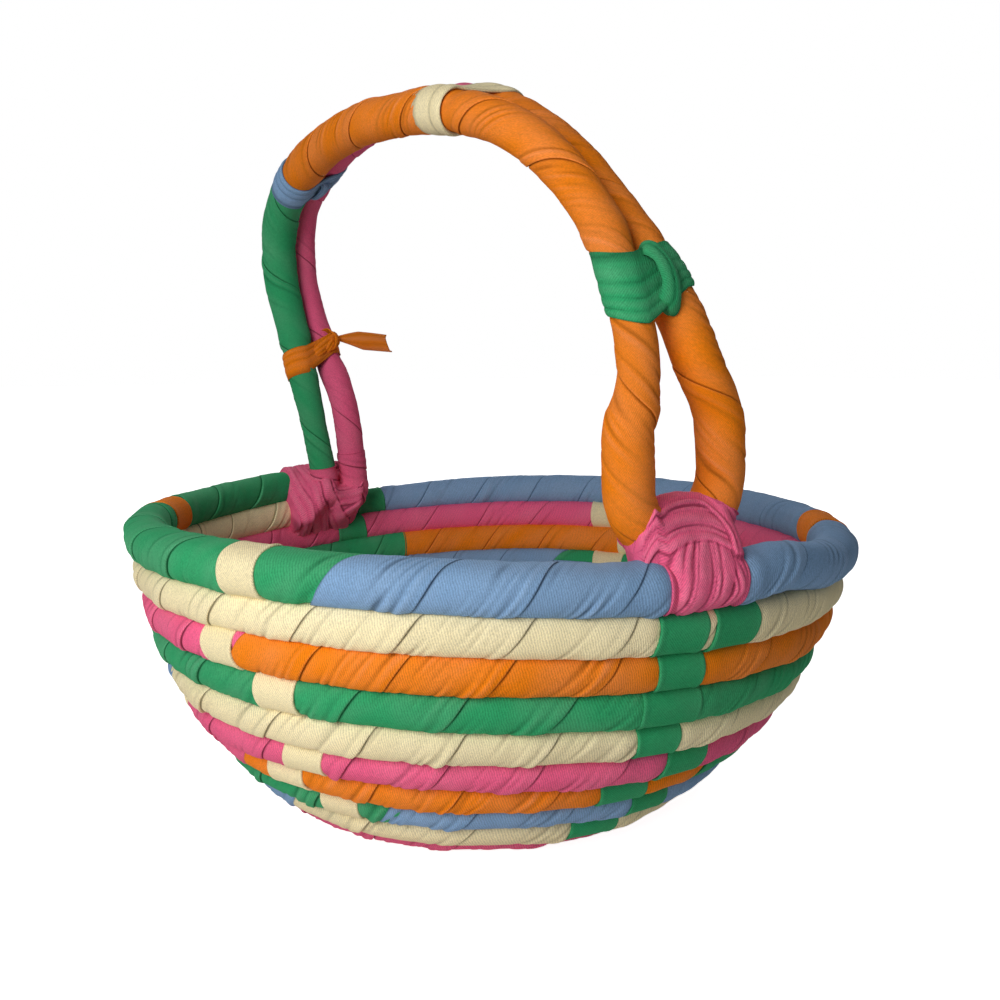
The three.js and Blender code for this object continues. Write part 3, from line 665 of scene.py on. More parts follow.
class Handle:
    """The handle's route and its two strands, joined by a bend at each end."""

    def __init__(self):
        crest = front_foot[0] + front_foot[2] * front_foot[3]
        shoulder = front_foot[0] - front_foot[1] * front_foot[4] + front_foot[2] * front_foot[3] / 2
        foot_x = front_foot[0][0] - FRONT_BEND_INSET
        slope = math.tan(STRAND_FLANK)
        seat = max(corner[2] - (corner[0] - foot_x) * slope for corner in (crest, shoulder))
        seat += FRONT_SEAT_ROOM - HINGE_HEIGHT
        reach = BACK_BEND_RADIUS + STRAND_RADIUS + SWAY_ROOM
        beside = BACK_FOOT_TURN + np.array([0, 0.5, 1]) * width_in_turns(reach)
        centre, u, _, _, width = coil.frame(np.concatenate([beside, beside + 1]))
        wall = (centre[:, 0] - u[:, 0] * width).max()
        back_x = wall - SPAN_MIDDLE + FOOT_CLEARANCE + STRAND_RADIUS * math.cos(STRAND_FLANK)
        front = (foot_x - SPAN_MIDDLE, seat + STRAND_RADIUS + FRONT_BEND_RADIUS, FRONT_BEND_RADIUS, 0)
        back = (back_x, BACK_BEND_RADIUS - BACK_FOOT_DROP, BACK_BEND_RADIUS, 0)
        middle = [(x * HALF_SPAN, h * HANDLE_RISE, half, twist) for x, h, half, twist in HANDLE_ROUTE]
        stops = np.array([front, *middle, back])
        line = centripetal(stops[:, :2], ROUTE_STEPS)
        shape = centripetal(stops[:, 2:], ROUTE_STEPS)
        along = lengths_along(line)
        self.route_length = along[-1]
        self.route = np.linspace(0, along[-1], int(along[-1]) + 1)
        self.line = np.stack([np.interp(self.route, along, c) for c in line.T], -1)
        self.half = np.interp(self.route, along, shape[:, 0])
        self.twist = np.radians(np.interp(self.route, along, shape[:, 1]))
        self.join_strands()

    def pair(self, route):
        """(centre, u, v, tangent, half) of the pair of strands at these lengths of the route."""
        route = np.asarray(route, float)
        way = unit(np.gradient(self.line, self.route, axis=0))

        def look(column):
            return np.interp(route.ravel(), self.route, column).reshape(route.shape)

        tx, tz, nothing = look(way[:, 0]), look(way[:, 1]), 0 * route
        cos, sin = np.cos(look(self.twist))[..., None], np.sin(look(self.twist))[..., None]
        side = np.stack([nothing, nothing + 1, nothing], -1)
        out = np.stack([tz, nothing, -tx], -1)
        centre = np.stack([look(self.line[:, 0]), nothing, look(self.line[:, 1])], -1)
        tangent = np.stack([tx, nothing, tz], -1)
        return centre, side * cos + out * sin, out * cos - side * sin, tangent, look(self.half)

    def join_strands(self):
        centre, u, v, tangent, half = self.pair(self.route)
        out = np.stack([tangent[:, 2], 0 * half, -tangent[:, 0]], -1)
        side = np.zeros_like(out)
        side[:, 1] = 1
        reach = u * half[:, None]
        size = np.stack(strand_sizes(self.route / self.route_length), 1)

        def bend(i, way, downward):
            angle = np.linspace(0, math.pi, BEND_STEPS)[1:-1, None]
            turned = way * u[i] * np.cos(angle) + downward * np.sin(angle)
            mix = np.linspace(size[i, max(0, -way)], size[i, max(0, way)], len(angle))[:, None]
            return centre[i] + turned * half[i], np.repeat(v[i][None], len(angle), 0), turned, mix

        near = slice(None, None, -1)
        parts = [
            (centre + reach, out, side, size[:, :1]),
            bend(-1, 1, tangent[-1]),
            ((centre - reach)[near], out[near], -side[near], size[near, 1:]),
            bend(0, -1, -tangent[0]),
        ]
        columns = [np.vstack(column) for column in zip(*parts)]
        length = lengths_along(np.vstack([columns[0], columns[0][:1]]))
        self.loop_length = length[-1]
        count, self.bend_count = len(self.route), len(parts[1][0])
        self.far = length[:count]
        first_near = count + self.bend_count
        self.near = length[first_near : first_near + count][::-1]
        # The loop is held three times over, so that a run may pass its start.
        self.lengths = np.concatenate([length[:-1] + k * self.loop_length for k in (-1, 0, 1)])
        self.middle, self.across, self.up, self.size = (np.vstack([c, c, c]) for c in columns)

    def far_at(self, route):
        return float(np.interp(route, self.route, self.far))

    def near_at(self, route):
        return float(np.interp(route, self.route, self.near))

    def placed(self, points):
        """Points of the handle's own frame in the part's frame."""
        return self.turned(points) + HINGE

    @staticmethod
    def turned(ways):
        lean = math.radians(HANDLE_LEAN)
        cos, sin = math.cos(lean), math.sin(lean)
        return ways @ np.array([[1, 0, 0], [0, cos, sin], [0, -sin, cos]])


def strand_sizes(share):
    """Radius of the far strand and of the near one at a share of the route."""
    return [np.interp(share, STRAND_SIZES[:, 0], STRAND_SIZES[:, k]) for k in (1, 2)]


handle = Handle()
# The wrapped strands are uneven by this share, in waves along the loop, and drawn in under the bands.
STRAND_UNEVEN = 0.03
STRAND_BEATS = 10
STRAND_LONGEST = 6
STRAND_POWER = 2.0
BAND_DRAW = 0.5


def handle_rope():
    """The wrapped loop as one rope, drawn in under the bands."""
    rng = np.random.default_rng(STRAND_SEED)
    places = handle.lengths * TURN / handle.loop_length * STRAND_BEATS
    size = handle.size[:, 0] * (1 + waves(rng, places, STRAND_LONGEST, STRAND_UNEVEN))
    ways = handle.turned(handle.across), handle.turned(handle.up)
    rope = Rope(handle.lengths, handle.placed(handle.middle), *ways, size, size, size, STRAND_POWER)
    for _, _, share, width, *_ in HANDLE_BANDS:
        route = share * handle.route_length
        strands = handle.far_at(route), handle.near_at(route)
        rope.dents += [(place, width / 2, BAND_DRAW) for place in strands]
    return rope


# Meshes of cloth: points in millimetres, faces, cloth coordinates in millimetres and shading from -1 to 1:
# painted shade in creases and gaps where negative, painted highlight on ridges and edges where positive

Skin = namedtuple("Skin", "points faces cloth fold")
# Mean radius of a wrapped rope, for lengths of cloth round it.
CLOTH_RADIUS = 7.6


def outward(points, faces):
    """The faces, turned round if they look inward."""
    volume = sum(
        np.einsum("ij,ij->", points[f[:, 0]], np.cross(points[f[:, i]], points[f[:, i + 1]]))
        for f in faces
        for i in range(1, f.shape[1] - 1)
    )
    return faces if volume > 0 else [f[:, ::-1] for f in faces]


def join(skins):
    """Several skins as one."""
    start, faces = 0, []
    for skin in skins:
        faces += [f + start for f in skin.faces]
        start += len(skin.points)
    keys = "points", "cloth", "fold"
    points, cloth, fold = (np.concatenate([getattr(skin, key) for skin in skins]) for key in keys)
    return Skin(points, faces, cloth, fold)


def fan(loop, middle):
    loop = np.asarray(loop)
    return np.stack([np.roll(loop, -1), loop, np.full(len(loop), middle)], 1)


def grid_faces(ids):
    return np.stack([ids[:-1, :-1], ids[1:, :-1], ids[1:, 1:], ids[:-1, 1:]], -1).reshape(-1, 4)


def tube(points, cloth, fold, closed):
    """A skin over rows of rings, closed on itself or capped at both ends."""
    many, n = points.shape[:2]
    ids = np.arange(many * n).reshape(many, n)
    after = np.roll(ids, -1, 0) if closed else ids[1:]
    here = ids if closed else ids[:-1]
    faces = [np.stack([here, after, np.roll(after, -1, 1), np.roll(here, -1, 1)], -1).reshape(-1, 4)]
    flat, fold = points.reshape(-1, 3), np.broadcast_to(fold, points.shape[:2]).ravel()
    cloth = np.broadcast_to(cloth, points.shape).reshape(-1, 3)
    if not closed:
        ends = points[[0, -1]].mean(1)
        faces += [fan(ids[0][::-1], many * n), fan(ids[-1], many * n + 1)]
        flat = np.vstack([flat, ends])
        cloth = np.vstack([cloth, cloth[[0, -1]]])
        fold = np.concatenate([fold, fold[[0, -1]]])
    return Skin(flat, outward(flat, faces), cloth, fold)


def shell(middle, out, thick, cloth, fold):
    """A closed sheet of this thickness over a grid of places."""
    ids = np.arange(middle[..., 0].size).reshape(middle.shape[:2])
    top = grid_faces(ids)
    rim = np.concatenate([ids[:-1, 0], ids[-1, :-1], ids[:0:-1, -1], ids[0, :0:-1]])
    after, count = np.roll(rim, -1), ids.size
    walls = np.stack([after, rim, rim + count, after + count], 1)
    points = np.concatenate([(middle + out * k * thick / 2).reshape(-1, 3) for k in (1, -1)])
    cloth, fold = np.tile(cloth.reshape(-1, 3), (2, 1)), np.tile(fold.ravel(), 2)
    return Skin(points, outward(points, [top, (top + count)[:, ::-1], walls]), cloth, fold)


def laid_rope(line, u, v, radius, closed):
    """Three strands laid together along a line."""
    length = lengths_along(line)
    total = length[-1] + (np.linalg.norm(line[0] - line[-1]) if closed else 0)
    turns = round(total / CORE_LAY) if closed else total / CORE_LAY
    angle = np.arange(CORE_AROUND) * TURN / CORE_AROUND
    phase = angle[None, :] - (TURN * turns * length / total)[:, None]
    reach = radius * (1 - CORE_GROOVE + CORE_GROOVE * np.abs(np.cos(CORE_STRANDS / 2 * phase)))
    points = line[:, None] + u[:, None] * (reach * np.cos(angle))[..., None]
    points = points + v[:, None] * (reach * np.sin(angle))[..., None]
    cloth = np.stack(np.broadcast_arrays(length[:, None], radius * phase, 0.5), -1)
    return tube(points, cloth, np.zeros(1), closed)


# Wound strips

AROUND = 48
# A strip across its width, at the edge that is lapped and at the one that laps: share of the pitch,
# millimetres more, share of the edge's height, sink and shading: painted shadow in the seam and a painted
# highlight on the lapping edge. Between them it rises towards the lapping edge.
LAPPED_EDGE = [(0, 0.3, 0, -0.4, -1.3), (0, 0.75, 0, -0.1, -0.5)]
LAPPING_EDGE = [
    (1, -0.9, 1, 0, 0),
    (1, -0.35, 0.95, 0, 0.35),
    (1, 0.05, 0.5, -0.05, 0.35),
    (1, -0.25, 0.1, -0.3, -1.3),
]
STRIP_INNER = (1.4, 1.5)
STRIP_STEP = 0.85
STRIP_LEAST_STEPS = 8
STRIP_RISES_FROM = 0.55
STRIP_RISES_OVER = 0.4
# Strips differ in width, their edges in height, and the rope under them swells.
STRIP_UNEVEN = 0.16
EDGE_TURNS, EDGE_UNEVEN, EDGE_LIMITS = 1.7, 0.6, (0.25, 2)
SWELL_TURNS, SWELL = 0.83, 0.16
# A slanted end goes on under the next strip, and a square one is gathered.
STRIP_LAP = 5
STRIP_LAP_SINK = 0.9
STRIP_LAP_EASE = 0.4
GATHER = 0.03
# Where a rope is drawn in by more than this, a tie covers it.
UNDER_TIE = -0.2
# A row presses on the next from this share of its height.
CONTACT_FROM = 0.55
CONTACT_OVER = 0.35
# The strips on the handle are drawn tighter than those on the rows.
HANDLE_LIP = 0.5
HANDLE_CREASE = 0.5
# Long creases beside the strip's edge: where across the strip, and how long in turns. Then fans of short
# ones, which come out of the crevices under and over the row.
LONG_CREASES = [((0.8, 0.9), 0.35), ((0.55, 0.75), 0.25)]
FANS = 3
FAN_FROM = (0.05, 0.75)
FAN_COUNT = (2, 5)
FAN_REACH = 0.13
CREASE_GAP = (2.4, 4.2)
CREVICES = ([-1, 1], [0.65, 0.35])
CREVICE_AWAY = (0.12, 0.25)
# One crease: how its place, length, depth, half width and slant vary, and its ridge beside its valley.
CREASE_STRAY = (-0.03, 0.03)
CREASE_LENGTHS = (0.6, 1.4)
CREASE_DEPTHS = (0.35, 1.0)
CREASE_WIDTHS = (0.7, 1.3)
CREASE_SLANTS = (-0.05, 0.12)
FAN_SPREAD = 0.06
CREASE_FADES = 2.4
RIDGE_AT = 2.1
RIDGE_WIDTH = 1.6
RIDGE_HEIGHT = 0.8
# How much lighter the ridge is painted, as highlight, against the shade painted into the valley.
RIDGE_HIGHLIGHT = 0.7


def strip_profile(pitch):
    """A strip across its width, as columns: share of the pitch, millimetres more, share of the edge's
    height, sink and shading: painted shadow in the seam, painted highlight on the lapping edge."""
    steps = max(STRIP_LEAST_STEPS, round(pitch / STRIP_STEP))
    inner = np.linspace(STRIP_INNER[0] / pitch, 1 - STRIP_INNER[1] / pitch, steps)
    rises = smooth((inner - STRIP_RISES_FROM) / STRIP_RISES_OVER)
    rows = [(share, 0, rise, 0, 0) for share, rise in zip(inner, rises)]
    return np.array(LAPPED_EDGE + rows + LAPPING_EDGE).T


def add_creases(rng, turn, across, height, fold, turns, depth, pitch):
    """Creases along the strip: long ones beside the strip's edge, and groups that fan out of a crevice."""
    for k in range(turns):
        groups = [(rng.uniform(*place), 1, reach) for place, reach in LONG_CREASES]
        groups += [(rng.uniform(*FAN_FROM), int(rng.integers(*FAN_COUNT)), FAN_REACH) for _ in range(FANS)]
        for first, count, reach in groups:
            place = k + 0.5 + rng.choice(CREVICES[0], p=CREVICES[1]) * rng.uniform(*CREVICE_AWAY)
            gap = rng.uniform(*CREASE_GAP) / pitch
            for i in range(count):
                add_crease(rng, turn, across, height, fold, (place, first + i * gap, reach, i), depth, pitch)


def add_crease(rng, turn, across, height, fold, where, depth, pitch):
    """One crease: a sharp valley with a broad ridge beside it."""
    place, share, reach, number = where
    place += rng.uniform(*CREASE_STRAY)
    reach *= rng.uniform(*CREASE_LENGTHS)
    deep = rng.uniform(*CREASE_DEPTHS)
    wide = rng.uniform(*CREASE_WIDTHS)
    slant = rng.uniform(*CREASE_SLANTS) + FAN_SPREAD * number
    rows = slice(*np.searchsorted(turn, [place - CREASE_FADES * reach, place + CREASE_FADES * reach]))
    t = (turn[rows, None] - place) / reach
    off = (across[None, :] - share - slant * t * reach) * pitch
    valley = hump(off / wide) * hump(t)
    ridge = hump((off - RIDGE_AT * wide) / (RIDGE_WIDTH * wide)) * hump(t)
    height[rows] += deep * depth * (RIDGE_HEIGHT * ridge - valley)
    # Painted shade in the crease's valley and a painted highlight on its ridge beside it.
    fold[rows] += (RIDGE_HIGHLIGHT * ridge - valley) * deep


def strip_faces(many, n):
    """Faces of a wound strip: its own, the seams between its turns, and a fan over each end."""
    ids = np.arange(many * n).reshape(many, n)
    seam = np.stack([ids[: -1 - AROUND, -1], ids[1:-AROUND, -1], ids[1 + AROUND :, 0], ids[AROUND:-1, 0]], -1)
    first = np.concatenate([ids[: AROUND + 1, 0], ids[0, :0:-1]])
    last = np.concatenate([ids[-1], ids[-2 : -2 - AROUND : -1, -1]])
    return [grid_faces(ids), seam, fan(first, many * n), fan(last, many * n + 1)]


def wind(rope, start, end, pitch, rng, lip, crease, lift=0.0, square=(False, False), hand=1):
    """A rag strip wound round a rope between two lengths, each turn lapping the next one. A square end is
    gathered to a line round the rope. Another one runs out slantwise, and at the end goes on under the
    next strip."""
    if not square[1]:
        end += STRIP_LAP
    turns = max(1, round((end - start) / pitch))
    widths = 1 + STRIP_UNEVEN * rng.uniform(-1, 1, turns)
    edges = start + (end - start) * np.concatenate([[0], np.cumsum(widths)]) / widths.sum()
    edges = np.concatenate([[2 * edges[0] - edges[1]], edges, [2 * edges[-1] - edges[-2]]])
    pitch = (end - start) / turns
    more = [AROUND // 2 if end_square else 0 for end_square in square]
    turn = np.arange(-more[0], turns * AROUND + more[1] + 1) / AROUND
    angle = hand * TURN * (turn - 0.5)
    share, extra, rise, sink, seam_shading = strip_profile(pitch)
    count = (turn - 0.5)[:, None] + share[None, :]
    s = np.interp(count, np.arange(-1, turns + 2), edges) + extra[None, :]
    if square[0]:
        s = np.where(s < start, start + GATHER * (s - start), s)
    if square[1]:
        s = np.where(s > end, end + GATHER * (s - end), s)
    edge = lip * np.clip(1 + waves(rng, turn, EDGE_TURNS, EDGE_UNEVEN), *EDGE_LIMITS)
    height = edge[:, None] * rise[None, :] + sink[None, :] - lip / 2 + lift
    # Shading: painted shadow in each seam and a painted highlight on the lapping edge; the creases add their
    # painted shade and highlight.
    fold = np.tile(seam_shading, (len(turn), 1))
    across = share + extra / pitch
    add_creases(rng, turn, across, height, fold, turns, crease, pitch)
    flat = rope.pressed * np.clip((np.abs(np.sin(angle)) - CONTACT_FROM) / CONTACT_OVER, 0, 1)
    height += waves(rng, count, SWELL_TURNS, SWELL) - height * flat[:, None]
    height = np.where(rope.drawn(s) < UNDER_TIE, np.minimum(height, lift), height)
    if not square[1]:
        to_end = (turns + 0.5 - (turns - turn)[:, None] % 1 - count) * pitch
        under = np.clip(1 + STRIP_LAP_EASE - to_end / STRIP_LAP, 0, STRIP_LAP_EASE) / STRIP_LAP_EASE
        height -= STRIP_LAP_SINK * under
    points = rope.point(s, angle[:, None], height)
    points = np.vstack([points.reshape(-1, 3), rope.at(np.array([start, end]))[:, CENTRE]])
    shade = np.interp(turn, np.arange(turns + 1) + 0.5, rng.uniform(0, 1, turns + 1))
    round_length = hand * TURN * CLOTH_RADIUS * turn
    cloth = np.stack(np.broadcast_arrays(round_length[:, None], across * pitch, shade[:, None]), -1)
    cloth = np.vstack([cloth.reshape(-1, 3), np.zeros((2, 3))])
    # The middles of the end caps are painted in the darkest shade.
    fold = np.concatenate([fold.ravel(), [-1, -1]])
    return Skin(points, outward(points, strip_faces(*height.shape)), cloth, fold)


def stood(skin):
    """The skin with its underside pressed flat where the basket stands."""
    height = skin.points[:, 2]
    pressed = FLOOR_PRESS * np.exp(np.minimum(height, FLOOR_PRESS) / FLOOR_PRESS - 1)
    skin.points[:, 2] = np.where(height < FLOOR_PRESS, pressed, height)
    return skin


# Ties, bands and knots

TIE_AROUND = 72
# A tie at its edge: how far in, height in millimetres, height as a share of the cloth, and shading: painted
# shadow where the edge turns under, painted highlight on the turn. Its underside lies in the row.
TIE_EDGE_ROWS = [
    (0.1, -0.5, 0, -1),
    (0, 0, 0.55, 0.1),
    (0.5, 0, 1, 0.25),
    (1.3, 0, 1.1, 0.15),
    (2.0, 0, 0.95, -0.1),
]
TIE_INNER = 2.8
TIE_INNER_STEPS = 9
TIE_UNDER_SHARE, TIE_UNDER_SINK = 0.4, -0.8
TIE_SLANTS = (-0.6, 1.4)
TIE_NARROWS = 0.02
TIE_WANDERS = 0.5
TIE_RISES = 0.07
# Pleats: the height in a valley, how full they are, and how the rag thins at its edges. Then their
# shading: painted shade in the valleys and at the edges, painted highlight on the crests.
PLEAT_VALLEY = 0.3
PLEAT_FULLNESS = 0.35
PLEAT_EDGE_POWER = 6
PLEAT_EDGE_THINS = 0.7
PLEAT_SHADING, PLEAT_SHADING_POWER, PLEAT_VALLEY_SHADE, PLEAT_EDGE_SHADE = 1.3, 0.5, -0.85, 0.4
PLEAT_STEPS = 8
RAG_UNDER_STEPS = 7
RAG_UNDER_SHARE = 0.9
# The rags of a knot: steps across and along, how they bend down, thin and sink at their tucked ends.
KNOT_STEPS_ACROSS = 13
KNOT_STEPS = 14
KNOT_CURL = 6.0
TUCK_LENGTH = 6
TUCK_NARROWS = 0.35
TUCK_DEPTH = 3
KNOT_UNDER = 0.7
KNOT_WIDTH_WAVE, KNOT_UNEVEN = 30, 0.08
KNOT_DRIFT_WAVE, KNOT_DRIFT = 40, 0.12
# The bands round the strands: steps round an end and across, and how uneven they are. Their pleats crowd to
# one edge, and they sag between the strands.
BAND_ROOM = 0.2
BAND_STEPS = 22
BAND_STEPS_ACROSS = 17
BAND_UNEVEN = 0.05
BAND_DRIFT = 0.1
BAND_WANDERS = 0.4
BAND_CROWDS = 1.7
BAND_SAG = 0.9
BAND_UNDER = -0.8
BAND_ROUND = 84
FLAT_SIDE = 0.99


def tie_profile(width, cloth):
    """A tie across its width: place from its middle, height, and shading: painted shade at its turned edges
    and underside, painted highlight on the turns.
    """
    half = width / 2
    edge = [(-half + inward, sink + share * cloth, fold) for inward, sink, share, fold in TIE_EDGE_ROWS]
    rows = edge + [(x, cloth, 0) for x in np.linspace(-half + TIE_INNER, half - TIE_INNER, TIE_INNER_STEPS)]
    rows += [(-x, h, f) for x, h, f in reversed(edge)]
    # The underside, closed in the crevice, is painted in the darkest shade.
    rows += [(x * TIE_UNDER_SHARE, TIE_UNDER_SINK, -1) for x in (half, -half)]
    return np.array(rows).T


def tie_round(rope, middle, width, cloth, rng, slant=0.0):
    """A flat rag tied round a rope, its edges turned under, and closed in the crevice under the row."""
    angle = np.arange(TIE_AROUND) * TURN / TIE_AROUND - TURN / 4
    place, height, fold = tie_profile(width, cloth)
    narrow = 1 + waves(rng, angle, TURN, TIE_NARROWS)
    wander = waves(rng, angle, TURN, TIE_WANDERS) + slant * np.sin(angle)
    s = middle + place[None, :] * narrow[:, None] + wander[:, None]
    lift = height[None, :] + waves(rng, angle, TURN / 2, TIE_RISES)[:, None]
    points = rope.point(s, angle[:, None], lift)
    round_length = (angle * CLOTH_RADIUS)[:, None]
    spread = np.broadcast_arrays(round_length, place[None, :] + width / 2, rng.uniform())
    return tube(points, np.stack(spread, -1), fold[None, :], True)


def pleats_over(across, drift, count, cloth):
    """Height and shading over a rag in pleats, with across from -1 to 1 between its edges: painted shade in
    the valleys and at the edges, painted highlight on the crests.
    """
    wave = np.abs(np.sin(math.pi * (count * (across + 1) / 2 + drift)))
    edge = np.abs(across) ** PLEAT_EDGE_POWER
    full = PLEAT_VALLEY + (1 - PLEAT_VALLEY) * wave**PLEAT_FULLNESS
    height = cloth * full * (1 - PLEAT_EDGE_THINS * edge)
    return height, PLEAT_SHADING * wave**PLEAT_SHADING_POWER + PLEAT_VALLEY_SHADE - PLEAT_EDGE_SHADE * edge


def rag_section(count):
    """A rag's section as places from -1 to 1 across: over the top and back along its underside."""
    top = np.sin(np.linspace(-math.pi / 2, math.pi / 2, count))
    under = np.linspace(RAG_UNDER_SHARE, -RAG_UNDER_SHARE, RAG_UNDER_STEPS)
    return np.concatenate([top, under]), np.concatenate([np.ones(count), np.zeros(RAG_UNDER_STEPS)])


def knot_rag(line, out, width, cloth, pleats, rng):
    """A folded rag along a line, bent down over what it lies on, with its ends tucked in."""
    way = unit(np.gradient(line, axis=0))
    out = unit(out - way * np.einsum("ij,ij->i", out, way)[:, None])
    side = np.cross(way, out)
    length = lengths_along(line)
    from_end = np.minimum(length, length[-1] - length)
    tuck = 1 - np.clip(from_end / TUCK_LENGTH, 0, 1)
    across, top = rag_section(PLEAT_STEPS * pleats + KNOT_STEPS_ACROSS)
    half = width / 2 * (1 - TUCK_NARROWS * tuck**2) * (1 + waves(rng, length, KNOT_WIDTH_WAVE, KNOT_UNEVEN))
    drift = waves(rng, length, KNOT_DRIFT_WAVE, KNOT_DRIFT) + rng.uniform(0, 1)
    height, fold = pleats_over(across[None, :], drift[:, None], pleats, cloth)
    height = np.where(top > 0, height, -KNOT_UNDER * cloth) - TUCK_DEPTH * tuck[:, None] ** 2
    x = across[None, :] * half[:, None]
    height = height - x * x / (2 * KNOT_CURL)
    points = line[:, None] + side[:, None] * x[..., None] + out[:, None] * height[..., None]
    spread = np.broadcast_arrays(length[:, None], x + half[:, None], rng.uniform())
    # The rag's underside is painted in the darkest shade.
    return tube(points, np.stack(spread, -1), np.where(top > 0, fold, -1), False)


def beside_pair(route, places):
    """A line by its places along the route, across the pair of strands and out of it, and its ways out."""
    places = np.array(places, float)
    centre, u, v, _, _ = handle.pair(route + places[:, 0])
    out = u * places[:, 1:2] + v * places[:, 2:3]
    line = centripetal(handle.placed(centre + out), KNOT_STEPS)
    return line, centripetal(handle.turned(out), KNOT_STEPS)


def stadium(count):
    """Places round two strands: share of the half distance between them, and the way out, across and up."""
    arc = np.linspace(-math.pi / 2, math.pi / 2, count)
    flat = np.linspace(1, -1, count // 2 + 2)[1:-1]
    half = [(1, math.cos(a), math.sin(a)) for a in arc] + [(f, 0, 1) for f in flat]
    return np.array(half + [(-f, -c, -s) for f, c, s in half]).T


def band_round(route, width, pleats, slant, tilt, wider, cloth, rng):
    """A rag round both strands of the handle, in pleats, sagging a little between them."""
    apart, across_out, up_out = stadium(BAND_STEPS)
    around = np.arange(len(apart)) / len(apart)
    across, top = rag_section(PLEAT_STEPS * pleats + BAND_STEPS_ACROSS)
    narrow = 1 + waves(rng, around, 1, BAND_UNEVEN) - wider * apart
    drift = waves(rng, around, 1, BAND_DRIFT)
    crowded = 1 - 2 * ((1 - across) / 2) ** BAND_CROWDS
    height, fold = pleats_over(crowded[None, :], drift[:, None], pleats, cloth)
    sag = np.where(up_out * up_out > FLAT_SIDE, BAND_SAG * (1 - apart**2), 0)
    far, near = strand_sizes(route / handle.route_length)
    radius = BAND_ROOM + (far + near) / 2 + (far - near) / 2 * apart
    height = np.where(top > 0, height, BAND_UNDER) + (radius - sag)[:, None]
    shift = slant * apart + tilt * up_out + waves(rng, around, 1, BAND_WANDERS)
    s = route + across[None, :] * (narrow * width / 2)[:, None] + shift[:, None]
    centre, u, v, _, half = handle.pair(s)
    points = centre + u * (apart[:, None] * half + across_out[:, None] * height)[..., None]
    points = handle.placed(points + v * (up_out[:, None] * height)[..., None])
    spread = np.broadcast_arrays(
        (around * BAND_ROUND)[:, None], (across * width / 2)[None, :] + width, rng.uniform()
    )
    # The rag's underside is painted in the darkest shade.
    return tube(points, np.stack(spread, -1), np.where(top > 0, fold, -1), True)


# Cloth of the lashings

# Radii of the cloth over the rim, the rows under it and the handle's bend. The rag round the rim itself is
# thinner.
RIM_CLOTH_RADIUS = 9.2
LOWER_CLOTH_RADIUS = 8.6
BEND_CLOTH_RADIUS = 9.3
RIM_CLOTH_SHARE = 0.9
# The cloth sinks by CLOTH_SINK over CLOTH_RUN_IN at the ends of its reach, and is tucked in underneath.
CLOTH_RUN_IN = 6
CLOTH_SINK = 5
CLOTH_TUCK = 1.1
TUCK_FROM, TUCK_OVER = 0.2, 0.6
HULL_STEP = 0.5
HULL_AROUND = 200
HULL_ANGLES = 720
# Places past this share of the way round are counted back from the top.
BEHIND_TOP_FROM = 0.75
# Strips over the cloth: how their width, their pleats' place and depth vary along them, in millimetres.
STRIP_LINE_STEPS = 20
WIDTH_WAVE, WIDTH_UNEVEN = 60, 0.06
DRIFT_WAVE, DRIFT = 90, 0.06
DEPTH_WAVE, DEPTH_UNEVEN, DEPTH_MEAN, DEPTH_LIMITS = 25, 0.35, 0.75, (0.2, 1.2)
CROWD, CROWD_BEND = 0.3, 2.2
STRIP_FULLNESS = 0.6
STRIP_END = 1.5
STRIP_EDGE = 0.6
STRIP_RAISE, STRIP_RELIEF = 0.8, 1.3
# Shading of the strips' pleats: painted highlight on the crests, painted shade in the valleys.
STRIP_SHADING, STRIP_VALLEY_SHADE = 1.9, 0.75
# A painted shadow beside a strip's edge and a painted highlight on it, which end with the strip.
EDGE_LINE_WIDTH = 0.5
PAINTED_EDGE_SHADOW, PAINTED_EDGE_SHADOW_PAST = 1.4, 2
PAINTED_EDGE_HIGHLIGHT, PAINTED_EDGE_HIGHLIGHT_PAST = 0.5, 1
SPREAD_STEPS = range(-6, 7, 2)


def hull_outline(circles, side):
    """Cloth drawn tight round circles (out, up, radius): places, ways out, and lengths from its top down
    its outer side, or down its inner one where side is -1."""
    angle = np.arange(HULL_ANGLES) * TURN / HULL_ANGLES
    way = np.stack([side * np.sin(angle), np.cos(angle)], 1)
    widest = (way @ circles[:, :2].T + circles[:, 2]).argmax(1)
    line = np.hstack([circles[widest, :2] + way * circles[widest, 2:], way])
    line = np.vstack([line, line[:1]])
    length = lengths_along(line[:, :2])
    places = np.linspace(0, length[-1], HULL_AROUND + 1)[:-1]
    return np.stack([np.interp(places, length, column) for column in line.T], 1), places


def run_in(along, reach):
    """How far cloth sinks at the two ends of its reach."""
    ends = np.minimum(along - reach[0], reach[1] - along)
    return CLOTH_SINK * (1 - np.clip(ends / CLOTH_RUN_IN, 0, 1)) ** 2


def spread_out(height):
    """Heights mixed with those round about, as cloth bridges what lies under it."""
    for axis in (0, 1):
        height = sum(np.roll(height, by, axis) for by in SPREAD_STEPS) / len(SPREAD_STEPS)
    return height


